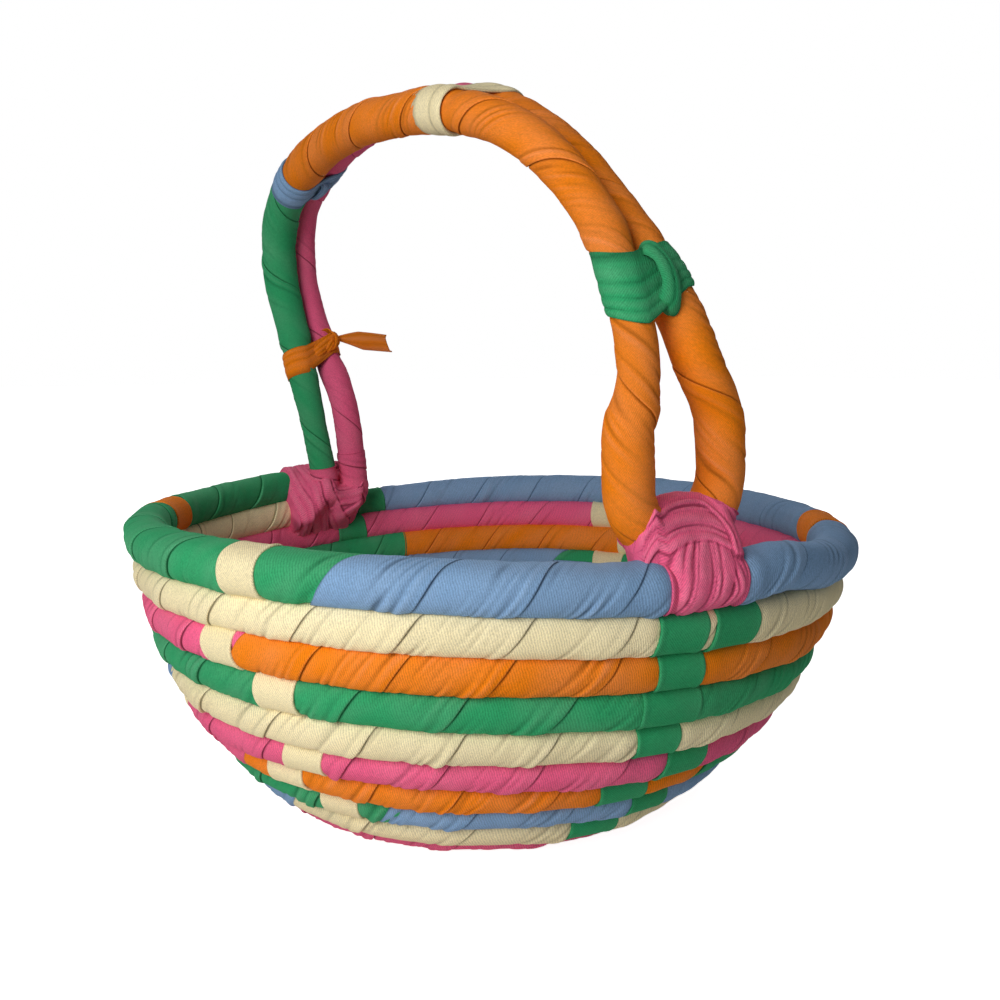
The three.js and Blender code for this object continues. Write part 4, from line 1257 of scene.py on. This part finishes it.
def strips_over(along, around, strips, cloth, rng):
    """Heights and shading of strips that lie over each other on cloth, by places along and round it: painted
    shade in their pleats' valleys and beside their edges, painted highlight on crests and edges.
    """
    height, fold = np.zeros(around.shape), np.zeros(around.shape)
    flat = np.stack([np.broadcast_to(along[:, None], around.shape), around], -1)
    for places, width, pleats in strips:
        line = centripetal(places, STRIP_LINE_STEPS)
        way = unit(np.gradient(line, axis=0))
        length = lengths_along(line)
        half = width / 2 * (1 + waves(rng, length, WIDTH_WAVE, WIDTH_UNEVEN))
        drift = waves(rng, length, DRIFT_WAVE, DRIFT) + rng.uniform(0, 1)
        near = np.full(around.shape, np.inf)
        step = np.zeros(around.shape, int)
        for i, place in enumerate(line):
            away = np.hypot(flat[..., 0] - place[0], flat[..., 1] - place[1])
            step = np.where(away < near, i, step)
            near = np.minimum(near, away)
        gap = flat - line[step]
        aside = gap[..., 1] * way[step, 0] - gap[..., 0] * way[step, 1]
        past = np.abs(gap[..., 0] * way[step, 0] + gap[..., 1] * way[step, 1])
        inside = np.minimum(half[step] - np.abs(aside), STRIP_END - past)
        cover = smooth(inside / STRIP_EDGE + 0.5)
        across = np.clip(aside / half[step], -1, 1)
        across = across + CROWD * np.sin(CROWD_BEND * across + rng.uniform(0, TURN))
        wave = np.abs(np.sin(math.pi * (pleats * (across + 1) / 2 + drift[step]))) ** STRIP_FULLNESS
        strong = np.clip(DEPTH_MEAN + waves(rng, length, DEPTH_WAVE, DEPTH_UNEVEN), *DEPTH_LIMITS)[step]
        laid = spread_out(height) + cloth * (STRIP_RAISE + STRIP_RELIEF * strong * (wave - 0.5))
        height += cover * (laid - height)
        # Painted highlight on the pleats' crests and painted shade in their valleys, then a painted shadow
        # beside the strip's edge and a painted highlight on it.
        fold += cover * (strong * (STRIP_SHADING * wave - STRIP_VALLEY_SHADE) - fold)
        fold -= PAINTED_EDGE_SHADOW * hump((inside + STRIP_EDGE) / EDGE_LINE_WIDTH) * (past < PAINTED_EDGE_SHADOW_PAST)
        fold += PAINTED_EDGE_HIGHLIGHT * hump((inside - STRIP_EDGE) / EDGE_LINE_WIDTH) * (past < PAINTED_EDGE_HIGHLIGHT_PAST)
    return height, fold


def lashed(foot, circles_at, lashing, cloth, rng):
    """Cloth round the rim and the bend at a foot, with strips folded over it."""
    place, ways = foot
    first, last = (pick(ends) for pick, ends in zip((min, max), zip(lashing.rim_reach, lashing.bend_reach)))
    along = np.arange(first, last + HULL_STEP, HULL_STEP)
    sections = [hull_outline(circles_at(a), lashing.side) for a in along]
    rows, around = (np.stack(column) for column in zip(*sections))
    whole = around[:, -1:]
    around = np.where(around > BEHIND_TOP_FROM * whole, around - whole, around)
    height, fold = strips_over(along, around, lashing.strips, cloth, rng)
    height -= CLOTH_TUCK * np.clip((-rows[..., 3] - TUCK_FROM) / TUCK_OVER, 0, 1)
    local = rows[..., :2] + rows[..., 2:] * height[..., None]
    local = np.concatenate([np.broadcast_to(along[:, None, None], fold.shape + (1,)), local], 2)
    spread = np.broadcast_arrays(around, along[:, None] - first, rng.uniform())
    return tube(place + local @ ways, np.stack(spread, -1), fold, False)


def bend_circles(foot, line, rows, lashing):
    """The circles that the cloth at a foot is drawn round, by place along the rim."""
    place, ways = foot
    bend = (line - place) @ ways.T
    bend = bend[bend[:, 2] < bend[:, 2].min() + BEND_CLOTH_RADIUS]
    bend = bend[bend[:, 0].argsort()]
    rims = [(row - place) @ ways.T for row in rows]
    rims = [rim[rim[:, 0].argsort()] for rim in rims]

    def circles_at(a):
        found = [[np.interp(a, path[:, 0], path[:, k]) for k in (1, 2)] for path in (*rims, bend, bend)]
        found[-1][1] = max(found[-1][1] - max(0, a - lashing.slope_from), lashing.crown)
        found[-2][1] -= max(0, a - lashing.slope_from)
        radii = [RIM_CLOTH_RADIUS] + [LOWER_CLOTH_RADIUS] * (len(rims) - 1)
        radii = [radius - run_in(a, lashing.rim_reach) for radius in radii]
        radii += 2 * [BEND_CLOTH_RADIUS - run_in(a, lashing.bend_reach)]
        return np.column_stack([found, radii])

    return circles_at


def row_line(rope, turns, down):
    """The line this many rows under the row at these turns, between two rows where it isn't whole."""
    over, share = int(down), down - int(down)
    lines = [
        rope.at(np.array([length_at(rope, turn + k) for turn in turns]))[:, CENTRE] for k in (over, over + 1)
    ]
    return lines[0] * (1 - share) + lines[1] * share


def foot_frame(turn):
    """The rim's middle at a turn, and the ways along it, out and up, as rows."""
    azimuth = math.radians(RIM_END_AZIMUTH + 360 * turn)
    cos, sin = math.cos(azimuth), math.sin(azimuth)
    return coil.frame(turn)[0] + PART_SHIFT, np.array([(-sin, cos, 0), (cos, sin, 0), (0, 0, 1.0)])


# Pieces of the object


def piece(name, skin, material, body, nodes):
    """A mesh object in metres that stands for these solids. It rides on a body; where body is two places
    instead, its place is fixed in the scene, and the two places are not used."""
    mesh = bpy.data.meshes.new(name)
    mesh.vertices.add(len(skin.points))
    mesh.vertices.foreach_set("co", (skin.points * MM).astype(np.float32).ravel())
    totals = np.concatenate([np.full(len(f), f.shape[1]) for f in skin.faces])
    mesh.loops.add(int(totals.sum()))
    mesh.loops.foreach_set("vertex_index", np.concatenate([f.ravel() for f in skin.faces]).astype(np.int32))
    mesh.polygons.add(len(totals))
    mesh.polygons.foreach_set("loop_start", (np.cumsum(totals) - totals).astype(np.int32))
    mesh.update(calc_edges=True)
    if mesh.validate():
        raise RuntimeError(name + " has bad faces")
    mesh.shade_smooth()
    # The shading goes to the material as painted shade and painted highlight.
    for key, kind, field, values in (
        ("cloth", "FLOAT_VECTOR", "vector", skin.cloth),
        ("fold", "FLOAT", "value", skin.fold),
    ):
        mesh.attributes.new(key, kind, "POINT").data.foreach_set(field, values.astype(np.float32).ravel())
    mesh.materials.append(material)
    made = bpy.data.objects.new(name, mesh)
    bpy.context.collection.objects.link(made)
    if isinstance(body, str):
        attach(made, body)
    else:
        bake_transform(made)
    if nodes:
        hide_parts(*nodes)
    return made


def rag_piece(node, colour, skin, body):
    """A piece of cotton rag that stands for the solid of its own name, where there is one."""
    nodes = [node] if node in frame["nodes"] else []
    return piece(node + "_rag", skin, cotton_twill(colour), body, nodes)


# Materials

BLACK, GREY, WHITE = (0, 0, 0), (0.8, 0.8, 0.8), (1, 1, 1)
# A wave texture's bands repeat over this much of its scaled length.
WAVE_PERIOD = TURN / 20
# Ribs of the twill at a slant to the strip, in radians.
RIB_SLANT = -0.8
# Yarn is thick and thin, and dye has faded in soft patches: millimetres across a fleck and across a patch.
YARN_FLECK = 0.6
FADED_PATCH = 25
YARN_BUMP = 0.11 * MM
# Jute fibres, in waves per millimetre along the rope and round it.
FIBRES = (0.08, 1.2, 1.0)
FIBRE_BUMP = 0.3 * MM


def add_node(tree, kind, sockets=None, **settings):
    """A node with these settings; a socket takes a value or the output that is linked to it."""
    made = tree.nodes.new(kind)
    for key, value in settings.items():
        setattr(made, key, value)
    for key, value in (sockets or {}).items():
        if isinstance(value, bpy.types.NodeSocket):
            tree.links.new(value, made.inputs[key])
        else:
            made.inputs[key].default_value = value
    return made


def new_material(name):
    material = bpy.data.materials.new(name)
    material.use_nodes = True
    tree = material.node_tree
    tree.nodes.clear()
    return material, tree, add_node(tree, "ShaderNodeOutputMaterial")


def toward(colour, other, share):
    return tuple(a + (b - a) * share for a, b in zip(colour, other)) + (1,)


def cotton_twill(colour):
    """Cotton twill, dyed, torn into strips and washed soft.

    Matt and slightly hairy: fine slanted ribs, a soft sheen at grazing angles, painted shade darkening the
    creases, seams and crevices, and ridges and edges painted paler, partly as highlight and partly as rubbed
    wear."""
    name = colour + " cotton twill"
    if name in bpy.data.materials:
        return bpy.data.materials[name]
    dye = tuple(getattr(colours(), colour))
    rib = sizes().twill / MM
    # deep is the colour of painted shade, pale that of painted highlight and of the sheen's tint, faded the
    # dye's own fading.
    deep, pale, faded = toward(dye, BLACK, 0.62), toward(dye, WHITE, 0.12), toward(dye, GREY, 0.05)
    material, tree, output = new_material(name)
    cloth = add_node(tree, "ShaderNodeAttribute", attribute_name="cloth").outputs["Vector"]
    fold = add_node(tree, "ShaderNodeAttribute", attribute_name="fold").outputs["Fac"]
    strip = add_node(tree, "ShaderNodeSeparateXYZ", {"Vector": cloth}).outputs["Z"]
    # The ribs are drawn a little coarser than real twill, so that they show.
    slanted = add_node(
        tree, "ShaderNodeMapping", {"Vector": cloth, "Rotation": (0, 0, RIB_SLANT)}
    ).outputs["Vector"]
    ribs = add_node(
        tree,
        "ShaderNodeTexWave",
        {"Vector": slanted, "Scale": WAVE_PERIOD / rib, "Distortion": 3.5, "Detail": 2.0,
         "Detail Scale": 0.8},
        wave_type="BANDS",
        bands_direction="X",
    ).outputs["Fac"]
    # The flecks are drawn coarser than the real yarn, so that they show.
    flecks = add_node(
        tree,
        "ShaderNodeTexNoise",
        {"Vector": cloth, "Scale": 1 / YARN_FLECK, "Detail": 2.0, "Roughness": 0.65},
    ).outputs["Fac"]
    patches = add_node(
        tree, "ShaderNodeTexNoise", {"Vector": cloth, "Scale": 1 / FADED_PATCH, "Detail": 2.0}
    ).outputs["Fac"]
    base = (*dye, 1)
    # Each step mixes the dye towards another colour: faded in patches, darker as painted shade in the
    # creases, seams and crevices, and paler on the ridges and edges, partly as painted highlight and partly
    # as rubbed wear.
    for value, first, last, most, other in (
        (patches, 0.4, 0.65, 0.9, faded),
        (fold, 0.0, -1.0, 0.8, deep),
        (fold, 0.1, 1.0, 0.45, pale),
    ):
        share = add_node(
            tree, "ShaderNodeMapRange", {"Value": value, "From Min": first, "From Max": last, "To Max": most}
        ).outputs["Result"]
        base = add_node(
            tree, "ShaderNodeMix", {"Factor": share, "A": base, "B": other}, data_type="RGBA"
        ).outputs["Result"]
    yarn = add_node(
        tree, "ShaderNodeMath", {0: flecks, 1: 2.6, 2: ribs}, operation="MULTIPLY_ADD"
    ).outputs["Value"]
    shade = add_node(
        tree,
        "ShaderNodeMapRange",
        {"Value": yarn, "From Min": 0.8, "From Max": 2.8, "To Min": 0.74, "To Max": 1.27},
    ).outputs["Result"]
    # Each turn of a strip has its own shade.
    turn_shade = add_node(
        tree, "ShaderNodeMapRange", {"Value": strip, "To Min": 0.93, "To Max": 1.05}
    ).outputs["Result"]
    value = add_node(
        tree, "ShaderNodeMath", {0: shade, 1: turn_shade}, operation="MULTIPLY"
    ).outputs["Value"]
    final = add_node(tree, "ShaderNodeHueSaturation", {"Color": base, "Value": value}).outputs["Color"]
    rough = add_node(
        tree, "ShaderNodeMapRange", {"Value": flecks, "To Min": 0.95, "To Max": 0.8}
    ).outputs["Result"]
    bump = add_node(
        tree, "ShaderNodeBump", {"Height": yarn, "Strength": 0.65, "Distance": YARN_BUMP}
    ).outputs["Normal"]
    shader = add_node(
        tree,
        "ShaderNodeBsdfPrincipled",
        {"Base Color": final, "Roughness": rough, "Normal": bump, "Specular IOR Level": 0.12,
         "Sheen Weight": 0.06, "Sheen Roughness": 0.5, "Sheen Tint": pale},
    )
    tree.links.new(shader.outputs["BSDF"], output.inputs["Surface"])
    return material


def jute_rope():
    """Jute rope, spun and laid from hairy fibres: matt straw brown with fine streaks along each strand."""
    name = "laid jute rope"
    if name in bpy.data.materials:
        return bpy.data.materials[name]
    straw = tuple(colours().rope)
    material, tree, output = new_material(name)
    cloth = add_node(tree, "ShaderNodeAttribute", attribute_name="cloth").outputs["Vector"]
    stretch = add_node(tree, "ShaderNodeMapping", {"Vector": cloth, "Scale": FIBRES}).outputs["Vector"]
    fibres = add_node(
        tree, "ShaderNodeTexNoise", {"Vector": stretch, "Scale": 1.0, "Detail": 3.0}
    ).outputs["Fac"]
    colour = add_node(
        tree,
        "ShaderNodeMix",
        {"Factor": fibres, "A": toward(straw, BLACK, 0.45), "B": toward(straw, WHITE, 0.1)},
        data_type="RGBA",
    ).outputs["Result"]
    bump = add_node(
        tree, "ShaderNodeBump", {"Height": fibres, "Strength": 0.6, "Distance": FIBRE_BUMP}
    ).outputs["Normal"]
    shader = add_node(
        tree,
        "ShaderNodeBsdfPrincipled",
        {"Base Color": colour, "Roughness": 0.92, "Normal": bump, "Specular IOR Level": 0.2},
    )
    tree.links.new(shader.outputs["BSDF"], output.inputs["Surface"])
    return material


def seen_rays(tree):
    """1 for a ray that the camera follows, straight, mirrored or passed through, and 0 for other light."""
    rays = add_node(tree, "ShaderNodeLightPath").outputs
    seen = rays["Is Camera Ray"]
    for key in ("Is Glossy Ray", "Is Transmission Ray"):
        seen = add_node(tree, "ShaderNodeMath", {0: seen, 1: rays[key]}, operation="MAXIMUM").outputs["Value"]
    return seen


def painted_floor():
    """Matt white paint on a studio floor: it takes a soft shadow, and its lit part reads as white."""
    material, tree, output = new_material("matt white paint")
    colour = (*colours().floor, 1)
    glow = add_node(
        tree, "ShaderNodeMath", {0: seen_rays(tree), 1: FLOOR_GLOW}, operation="MULTIPLY"
    ).outputs["Value"]
    shader = add_node(
        tree,
        "ShaderNodeBsdfPrincipled",
        {"Base Color": colour, "Roughness": 0.9, "Specular IOR Level": 0.1, "Emission Color": (*WHITE, 1),
         "Emission Strength": glow},
    )
    tree.links.new(shader.outputs["BSDF"], output.inputs["Surface"])
    return material


# Operators


class RagOperator:
    bl_options = {"REGISTER", "UNDO"}


def front_lashing_turn():
    return FRONT_FOOT_TURN - width_in_turns(FRONT_LASHING_BESIDE_FOOT)


def dressed_coil():
    """The coil with its rows drawn in under the ties and the front lashing."""
    rope = coil_rope()
    draw = sizes().tie_draw / MM
    rope.dents = [(length_at(rope, turn), width / 2, draw) for _, _, turn, width in ROW_TIES]
    half = LASHINGS["front"].rim_width / 2 - LASHING_DRAW_INSET
    rope.dents.append((length_at(rope, front_lashing_turn()), half, LASHING_DRAW))
    return rope


class RAG_OT_coil_wraps(RagOperator, Operator):
    """Wind the rag strips round the coil, one piece for each run of colour"""

    bl_idname = "rag_basket.coil_wraps"
    bl_label = "Coil wraps"

    # On the small turns of the base the strips are wound closer: this share of the turn's radius.
    tightest = 0.9

    def execute(self, context):
        rope = dressed_coil()
        size = sizes()
        base = (coil.turns - BASE_RUNS_FROM_TURN) / len(BASE_RUNS)
        runs = list(WALL_RUNS)
        runs += [(node, colour, BASE_RUNS_FROM_TURN + i * base) for i, (node, colour) in enumerate(BASE_RUNS)]
        ends = [turn for _, _, turn in runs[1:]] + [coil.turns]
        for i, ((node, colour, turn), end) in enumerate(zip(runs, ends)):
            rng = np.random.default_rng(WRAP_SEED + i)
            pitch = min(size.strip_pitch / MM, self.tightest * float(coil.radius_at((turn + end) / 2)))
            here = length_at(rope, turn), length_at(rope, end)
            squares = (node in SQUARE_STARTS, i + 1 < len(runs) and runs[i + 1][0] in SQUARE_STARTS)
            skin = wind(rope, *here, pitch, rng, size.lip / MM, size.crease / MM, square=squares)
            rag_piece(node, colour, stood(skin), "basket")
        return {"FINISHED"}


class RAG_OT_row_ties(RagOperator, Operator):
    """Tie the rows and the rim with flat rags"""

    bl_idname = "rag_basket.row_ties"
    bl_label = "Row ties"

    def execute(self, context):
        rope = dressed_coil()
        cloth = sizes().cloth / MM
        for i, (node, colour, turn, width) in enumerate(ROW_TIES):
            rng = np.random.default_rng(TIE_SEED + i)
            skin = tie_round(rope, length_at(rope, turn), width, cloth, rng, rng.uniform(*TIE_SLANTS))
            rag_piece(node, colour, skin, "basket")
        return {"FINISHED"}


class RAG_OT_cores(RagOperator, Operator):
    """Lay the core ropes of the coil and the handle"""

    bl_idname = "rag_basket.cores"
    bl_label = "Core ropes"

    def execute(self, context):
        rope = coil_rope()
        ends = length_at(rope, 0), length_at(rope, coil.turns)
        here = rope.at(np.linspace(*ends, round((ends[1] - ends[0]) / CORE_STEP)))
        skin = laid_rope(here[:, CENTRE], here[:, ACROSS], here[:, UP], COIL_CORE_RADIUS, False)
        piece("coil_core_rope", skin, jute_rope(), "basket", ["coil_core"])
        step = handle.loop_length / round(handle.loop_length / CORE_STEP)
        here = handle_rope().at(np.arange(0, handle.loop_length, step))
        skin = laid_rope(here[:, CENTRE], here[:, ACROSS], here[:, UP], HANDLE_CORE_RADIUS, True)
        piece("handle_core_rope", skin, jute_rope(), "handle", ["handle_core"])
        return {"FINISHED"}


class RAG_OT_handle_wraps(RagOperator, Operator):
    """Wind the rag strips round the handle's two strands and its two bends"""

    bl_idname = "rag_basket.handle_wraps"
    bl_label = "Handle wraps"

    def execute(self, context):
        rope = handle_rope()
        size = sizes()
        cream = handle.far_at(BAND_MIDDLES["handle_band_cream"] * handle.route_length)
        blue = handle.near_at(BAND_MIDDLES["handle_band_blue"] * handle.route_length)
        far_back = handle.far_at(handle.route_length - LASHED_FAR_STRAND_BACK)
        near_back = handle.near_at(handle.route_length - LASHED_NEAR_STRAND_BACK)
        far_front = handle.far_at(0) - WRAP_INTO_FRONT_BEND
        near_front = handle.near_at(0) + WRAP_INTO_FRONT_BEND
        pitch, tight = size.handle_pitch / MM, size.lashing_pitch / MM
        lip, crease = size.lip / MM * HANDLE_LIP, size.crease / MM * HANDLE_CREASE
        runs = [
            ("handle_wrap_orange_far", "orange", far_front - STRIP_LAP, cream, pitch, 0),
            ("handle_wrap_pink", "pink", cream, far_back + STRIP_LAP, pitch, 0),
            ("handle_wrap_green", "green", near_back - STRIP_LAP, blue, pitch, 0),
            ("handle_wrap_orange_near", "orange", blue, near_front + STRIP_LAP, pitch, 0),
            ("lashing_back_loop", "pink", far_back, near_back, tight, LASHING_LIFT),
            ("lashing_front_loop", "pink", near_front, far_front + handle.loop_length, tight, LASHING_LIFT),
        ]
        for i, (node, colour, start, end, turn_length, lift) in enumerate(runs):
            rng = np.random.default_rng(HANDLE_WRAP_SEED + i)
            skin = wind(rope, start, end, turn_length, rng, lip, crease, lift, square=(True, True), hand=-1)
            rag_piece(node, colour, skin, "handle")
        return {"FINISHED"}


class RAG_OT_handle_bands(RagOperator, Operator):
    """Tie the two strands together with four bands, two knots and a loose tail"""

    bl_idname = "rag_basket.handle_bands"
    bl_label = "Handle bands"

    def execute(self, context):
        cloth = sizes().cloth / MM
        for i, (node, colour, share, width, pleats, *run) in enumerate(HANDLE_BANDS):
            rng = np.random.default_rng(BAND_SEED + i)
            skin = band_round(share * handle.route_length, width, pleats, *run, cloth, rng)
            rag_piece(node, colour, skin, "handle")
        rng = np.random.default_rng(KNOT_SEED)
        for node, colour, band, rags in KNOTS:
            route = BAND_MIDDLES[band] * handle.route_length
            skins = []
            for places, width, pleats in rags:
                skins.append(knot_rag(*beside_pair(route, places), width, cloth, pleats, rng))
            rag_piece(node, colour, join(skins), "handle")
        self.add_tail()
        return {"FINISHED"}

    @staticmethod
    def add_tail():
        route = BAND_MIDDLES["handle_band_orange"] * handle.route_length
        root, tip = beside_pair(route, TAIL_ENDS)[0][[0, -1]]
        _, _, _, tangent, _ = handle.pair(np.array(route))
        down = handle.turned(tangent)
        way = unit(tip - root)
        out = unit(np.cross(down, way))
        along = np.linspace(0, 1, TAIL_STEPS[0])[:, None]
        across = np.linspace(-1, 1, TAIL_STEPS[1])[None, :]
        widens = np.clip(along / TAIL_WIDENS_OVER, 0, 1)
        half = (TAIL_ROOT_WIDTH + (TAIL_WIDTH - TAIL_ROOT_WIDTH) * widens) / (2 * TAIL_CURL)
        length = (TAIL_LENGTH - TAIL_FORK_DEPTH) * along + TAIL_FORK_DEPTH * across**2 * along**4
        bend = across * TAIL_CURL
        wrinkle = np.sin(TAIL_WRINKLES[0] * across + TAIL_WRINKLES[1] * along)
        radius = half + TAIL_WRINKLE * wrinkle * along
        x = radius * np.sin(bend)
        cup = radius * (np.cos(bend) - 1)
        droop = TAIL_DROOP * along**2
        middle = root + way * length[..., None] + down * (droop + x)[..., None] + out * cup[..., None]
        normal = unit(-np.cross(np.gradient(middle, axis=0), np.gradient(middle, axis=1)))
        grid = np.stack(np.broadcast_arrays(length, across * half + TAIL_WIDTH, 0.5), -1)
        # Painted highlight on the wrinkles' crests and painted shade in their troughs, the tail lighter
        # overall.
        fold = np.broadcast_to(TAIL_SHADING[0] + TAIL_SHADING[1] * wrinkle, length.shape)
        skin = shell(middle, normal, TAIL_THICKNESS, grid, fold)
        made = rag_piece("handle_tail_orange", "orange", skin, "handle")


class RAG_OT_lashings(RagOperator, Operator):
    """Lash the handle's two ends to the rim with folded rags"""

    bl_idname = "rag_basket.lashings"
    bl_label = "Lashings"

    def execute(self, context):
        rim = dressed_coil()
        cloth = sizes().cloth / MM
        rng = np.random.default_rng(LASHING_SEED)
        count, bend = len(handle.route), handle.bend_count
        loop = handle.placed(handle.middle[: len(handle.middle) // 3])
        from_end = BACK_LASHING_FROM_END + LASHINGS["back"].rim_width / 2
        feet = [
            ("front", FRONT_FOOT_TURN, front_lashing_turn(), loop[-bend:]),
            ("back", BACK_FOOT_TURN, width_in_turns(from_end), loop[count : count + bend]),
        ]
        near = width_in_turns(np.linspace(-LASHED_REACH, LASHED_REACH, LASHED_STEPS))
        for name, turn, rim_turn, line in feet:
            lashing = LASHINGS[name]
            skin = tie_round(rim, length_at(rim, rim_turn), lashing.rim_width, RIM_CLOTH_SHARE * cloth, rng)
            rag_piece("lashing_%s_rim" % name, "pink", skin, "basket")
            foot = foot_frame(turn)
            rows = [row_line(rim, turn + near, down) for down in lashing.rows]
            skin = lashed(foot, bend_circles(foot, line, rows, lashing), lashing, cloth, rng)
            blend = [(foot[0] + foot[1][lashing.blend_way] * by) * MM for by in lashing.blend]
            rag_piece("lashing_%s_straps" % name, "pink", skin, blend)
        return {"FINISHED"}


class RAG_OT_stage(RagOperator, Operator):
    """Set the floor, the light and the camera"""

    bl_idname = "rag_basket.stage"
    bl_label = "Studio"

    def execute(self, context):
        scene = context.scene
        scene.view_settings.view_transform = "Standard"
        self.add_floor()
        self.add_light(scene)
        self.add_camera(scene)
        return {"FINISHED"}

    @staticmethod
    def add_floor():
        mesh = bpy.data.meshes.new("studio_floor")
        corners = [(x * FLOOR_REACH, y * FLOOR_REACH, 0) for x, y in ((-1, -1), (1, -1), (1, 1), (-1, 1))]
        mesh.from_pydata(corners, [], [(0, 1, 2, 3)])
        mesh.materials.append(painted_floor())
        floor = bpy.data.objects.new("studio_floor", mesh)
        bpy.context.collection.objects.link(floor)

    @staticmethod
    def add_light(scene):
        world = bpy.data.worlds.new("studio")
        world.use_nodes = True
        tree = world.node_tree
        tree.nodes.clear()
        strength = add_node(
            tree, "ShaderNodeMapRange", {"Value": seen_rays(tree), "To Min": WORLD_FILL, "To Max": 1.0}
        ).outputs["Result"]
        sky = add_node(tree, "ShaderNodeBackground", {"Color": (*WHITE, 1), "Strength": strength})
        output = add_node(tree, "ShaderNodeOutputWorld")
        tree.links.new(sky.outputs["Background"], output.inputs["Surface"])
        scene.world = world
        for name, swing, height, away, size, power in LAMPS:
            lamp = bpy.data.lights.new(name, "AREA")
            lamp.shape, lamp.size, lamp.energy = "DISK", size, power
            lamp.color = LAMP_COLOUR
            turn, rise = math.radians(CAMERA_AZIMUTH) + math.radians(swing), math.radians(height)
            level = math.cos(rise)
            way = np.array([math.sin(turn) * level, -math.cos(turn) * level, math.sin(rise)])
            held = bpy.data.objects.new(name, lamp)
            held.matrix_world = looking(way * away + np.array([0, 0, LAMPS_AIM_HEIGHT]), -way)
            bpy.context.collection.objects.link(held)

    @staticmethod
    def add_camera(scene):
        spin = np.array(Matrix.Rotation(math.radians(CAMERA_AZIMUTH), 3, "Z"))
        yaw, pitch, roll = CAMERA_YAW, CAMERA_PITCH, CAMERA_ROLL
        forward = np.array(
            [math.sin(yaw) * math.cos(pitch), math.cos(yaw) * math.cos(pitch), -math.sin(pitch)]
        )
        right = np.array([math.cos(yaw), -math.sin(yaw), 0])
        up = np.cross(right, forward)
        right, up = right * math.cos(roll) + up * math.sin(roll), up * math.cos(roll) - right * math.sin(roll)
        rim = np.array([0, RIM_SHIFT, WRAP_HALF_WIDTH + coil.depth]) + PART_SHIFT
        place = spin @ np.array([0, -CAMERA_DISTANCE, CAMERA_ABOVE_RIM]) + rim
        lens = bpy.data.cameras.new("camera")
        lens.sensor_width = SENSOR
        lens.lens = LENS_PIXELS / PHOTO_SIDE * SENSOR
        lens.clip_start = CLIP_START
        camera = bpy.data.objects.new("camera", lens)
        camera.matrix_world = matrix_of(spin @ np.stack([right, up, -forward], 1), place * MM)
        bpy.context.collection.objects.link(camera)
        scene.camera = camera


def matrix_of(ways, place):
    """The matrix of an object at a place, with its own ways as columns."""
    matrix = np.eye(4)
    matrix[:3, :3] = ways
    matrix[:3, 3] = place
    return Matrix(matrix.tolist())


def looking(place, way):
    """The matrix of a lamp at a place that faces a way."""
    back = -np.asarray(way) / np.linalg.norm(way)
    right = np.cross([0, 0, 1], back)
    right /= np.linalg.norm(right)
    return matrix_of(np.stack([right, np.cross(back, right), back], 1), place)


class RAG_PT_panel(Panel):
    """The basket's sizes, colours and steps"""

    bl_idname = "RAG_PT_panel"
    bl_label = "Rag basket"
    bl_space_type = "VIEW_3D"
    bl_region_type = "UI"
    bl_category = "Rag basket"

    def draw(self, context):
        for group in (context.scene.rag_sizes, context.scene.rag_colours):
            for key in group.__annotations__:
                self.layout.prop(group, key)
        for operator in STEPS:
            self.layout.operator(operator.bl_idname)


STEPS = [
    RAG_OT_stage,
    RAG_OT_cores,
    RAG_OT_coil_wraps,
    RAG_OT_row_ties,
    RAG_OT_handle_wraps,
    RAG_OT_handle_bands,
    RAG_OT_lashings,
]
CLASSES = [RagSizes, RagColours, *STEPS, RAG_PT_panel]


def register():
    for made in CLASSES:
        bpy.utils.register_class(made)
    bpy.types.Scene.rag_sizes = PointerProperty(type=RagSizes)
    bpy.types.Scene.rag_colours = PointerProperty(type=RagColours)


def unregister():
    del bpy.types.Scene.rag_colours
    del bpy.types.Scene.rag_sizes
    for made in reversed(CLASSES):
        bpy.utils.unregister_class(made)


def main():
    register()
    for step in STEPS:
        group, name = step.bl_idname.split(".")
        getattr(getattr(bpy.ops, group), name)()


if __name__ == "__main__":
    main()
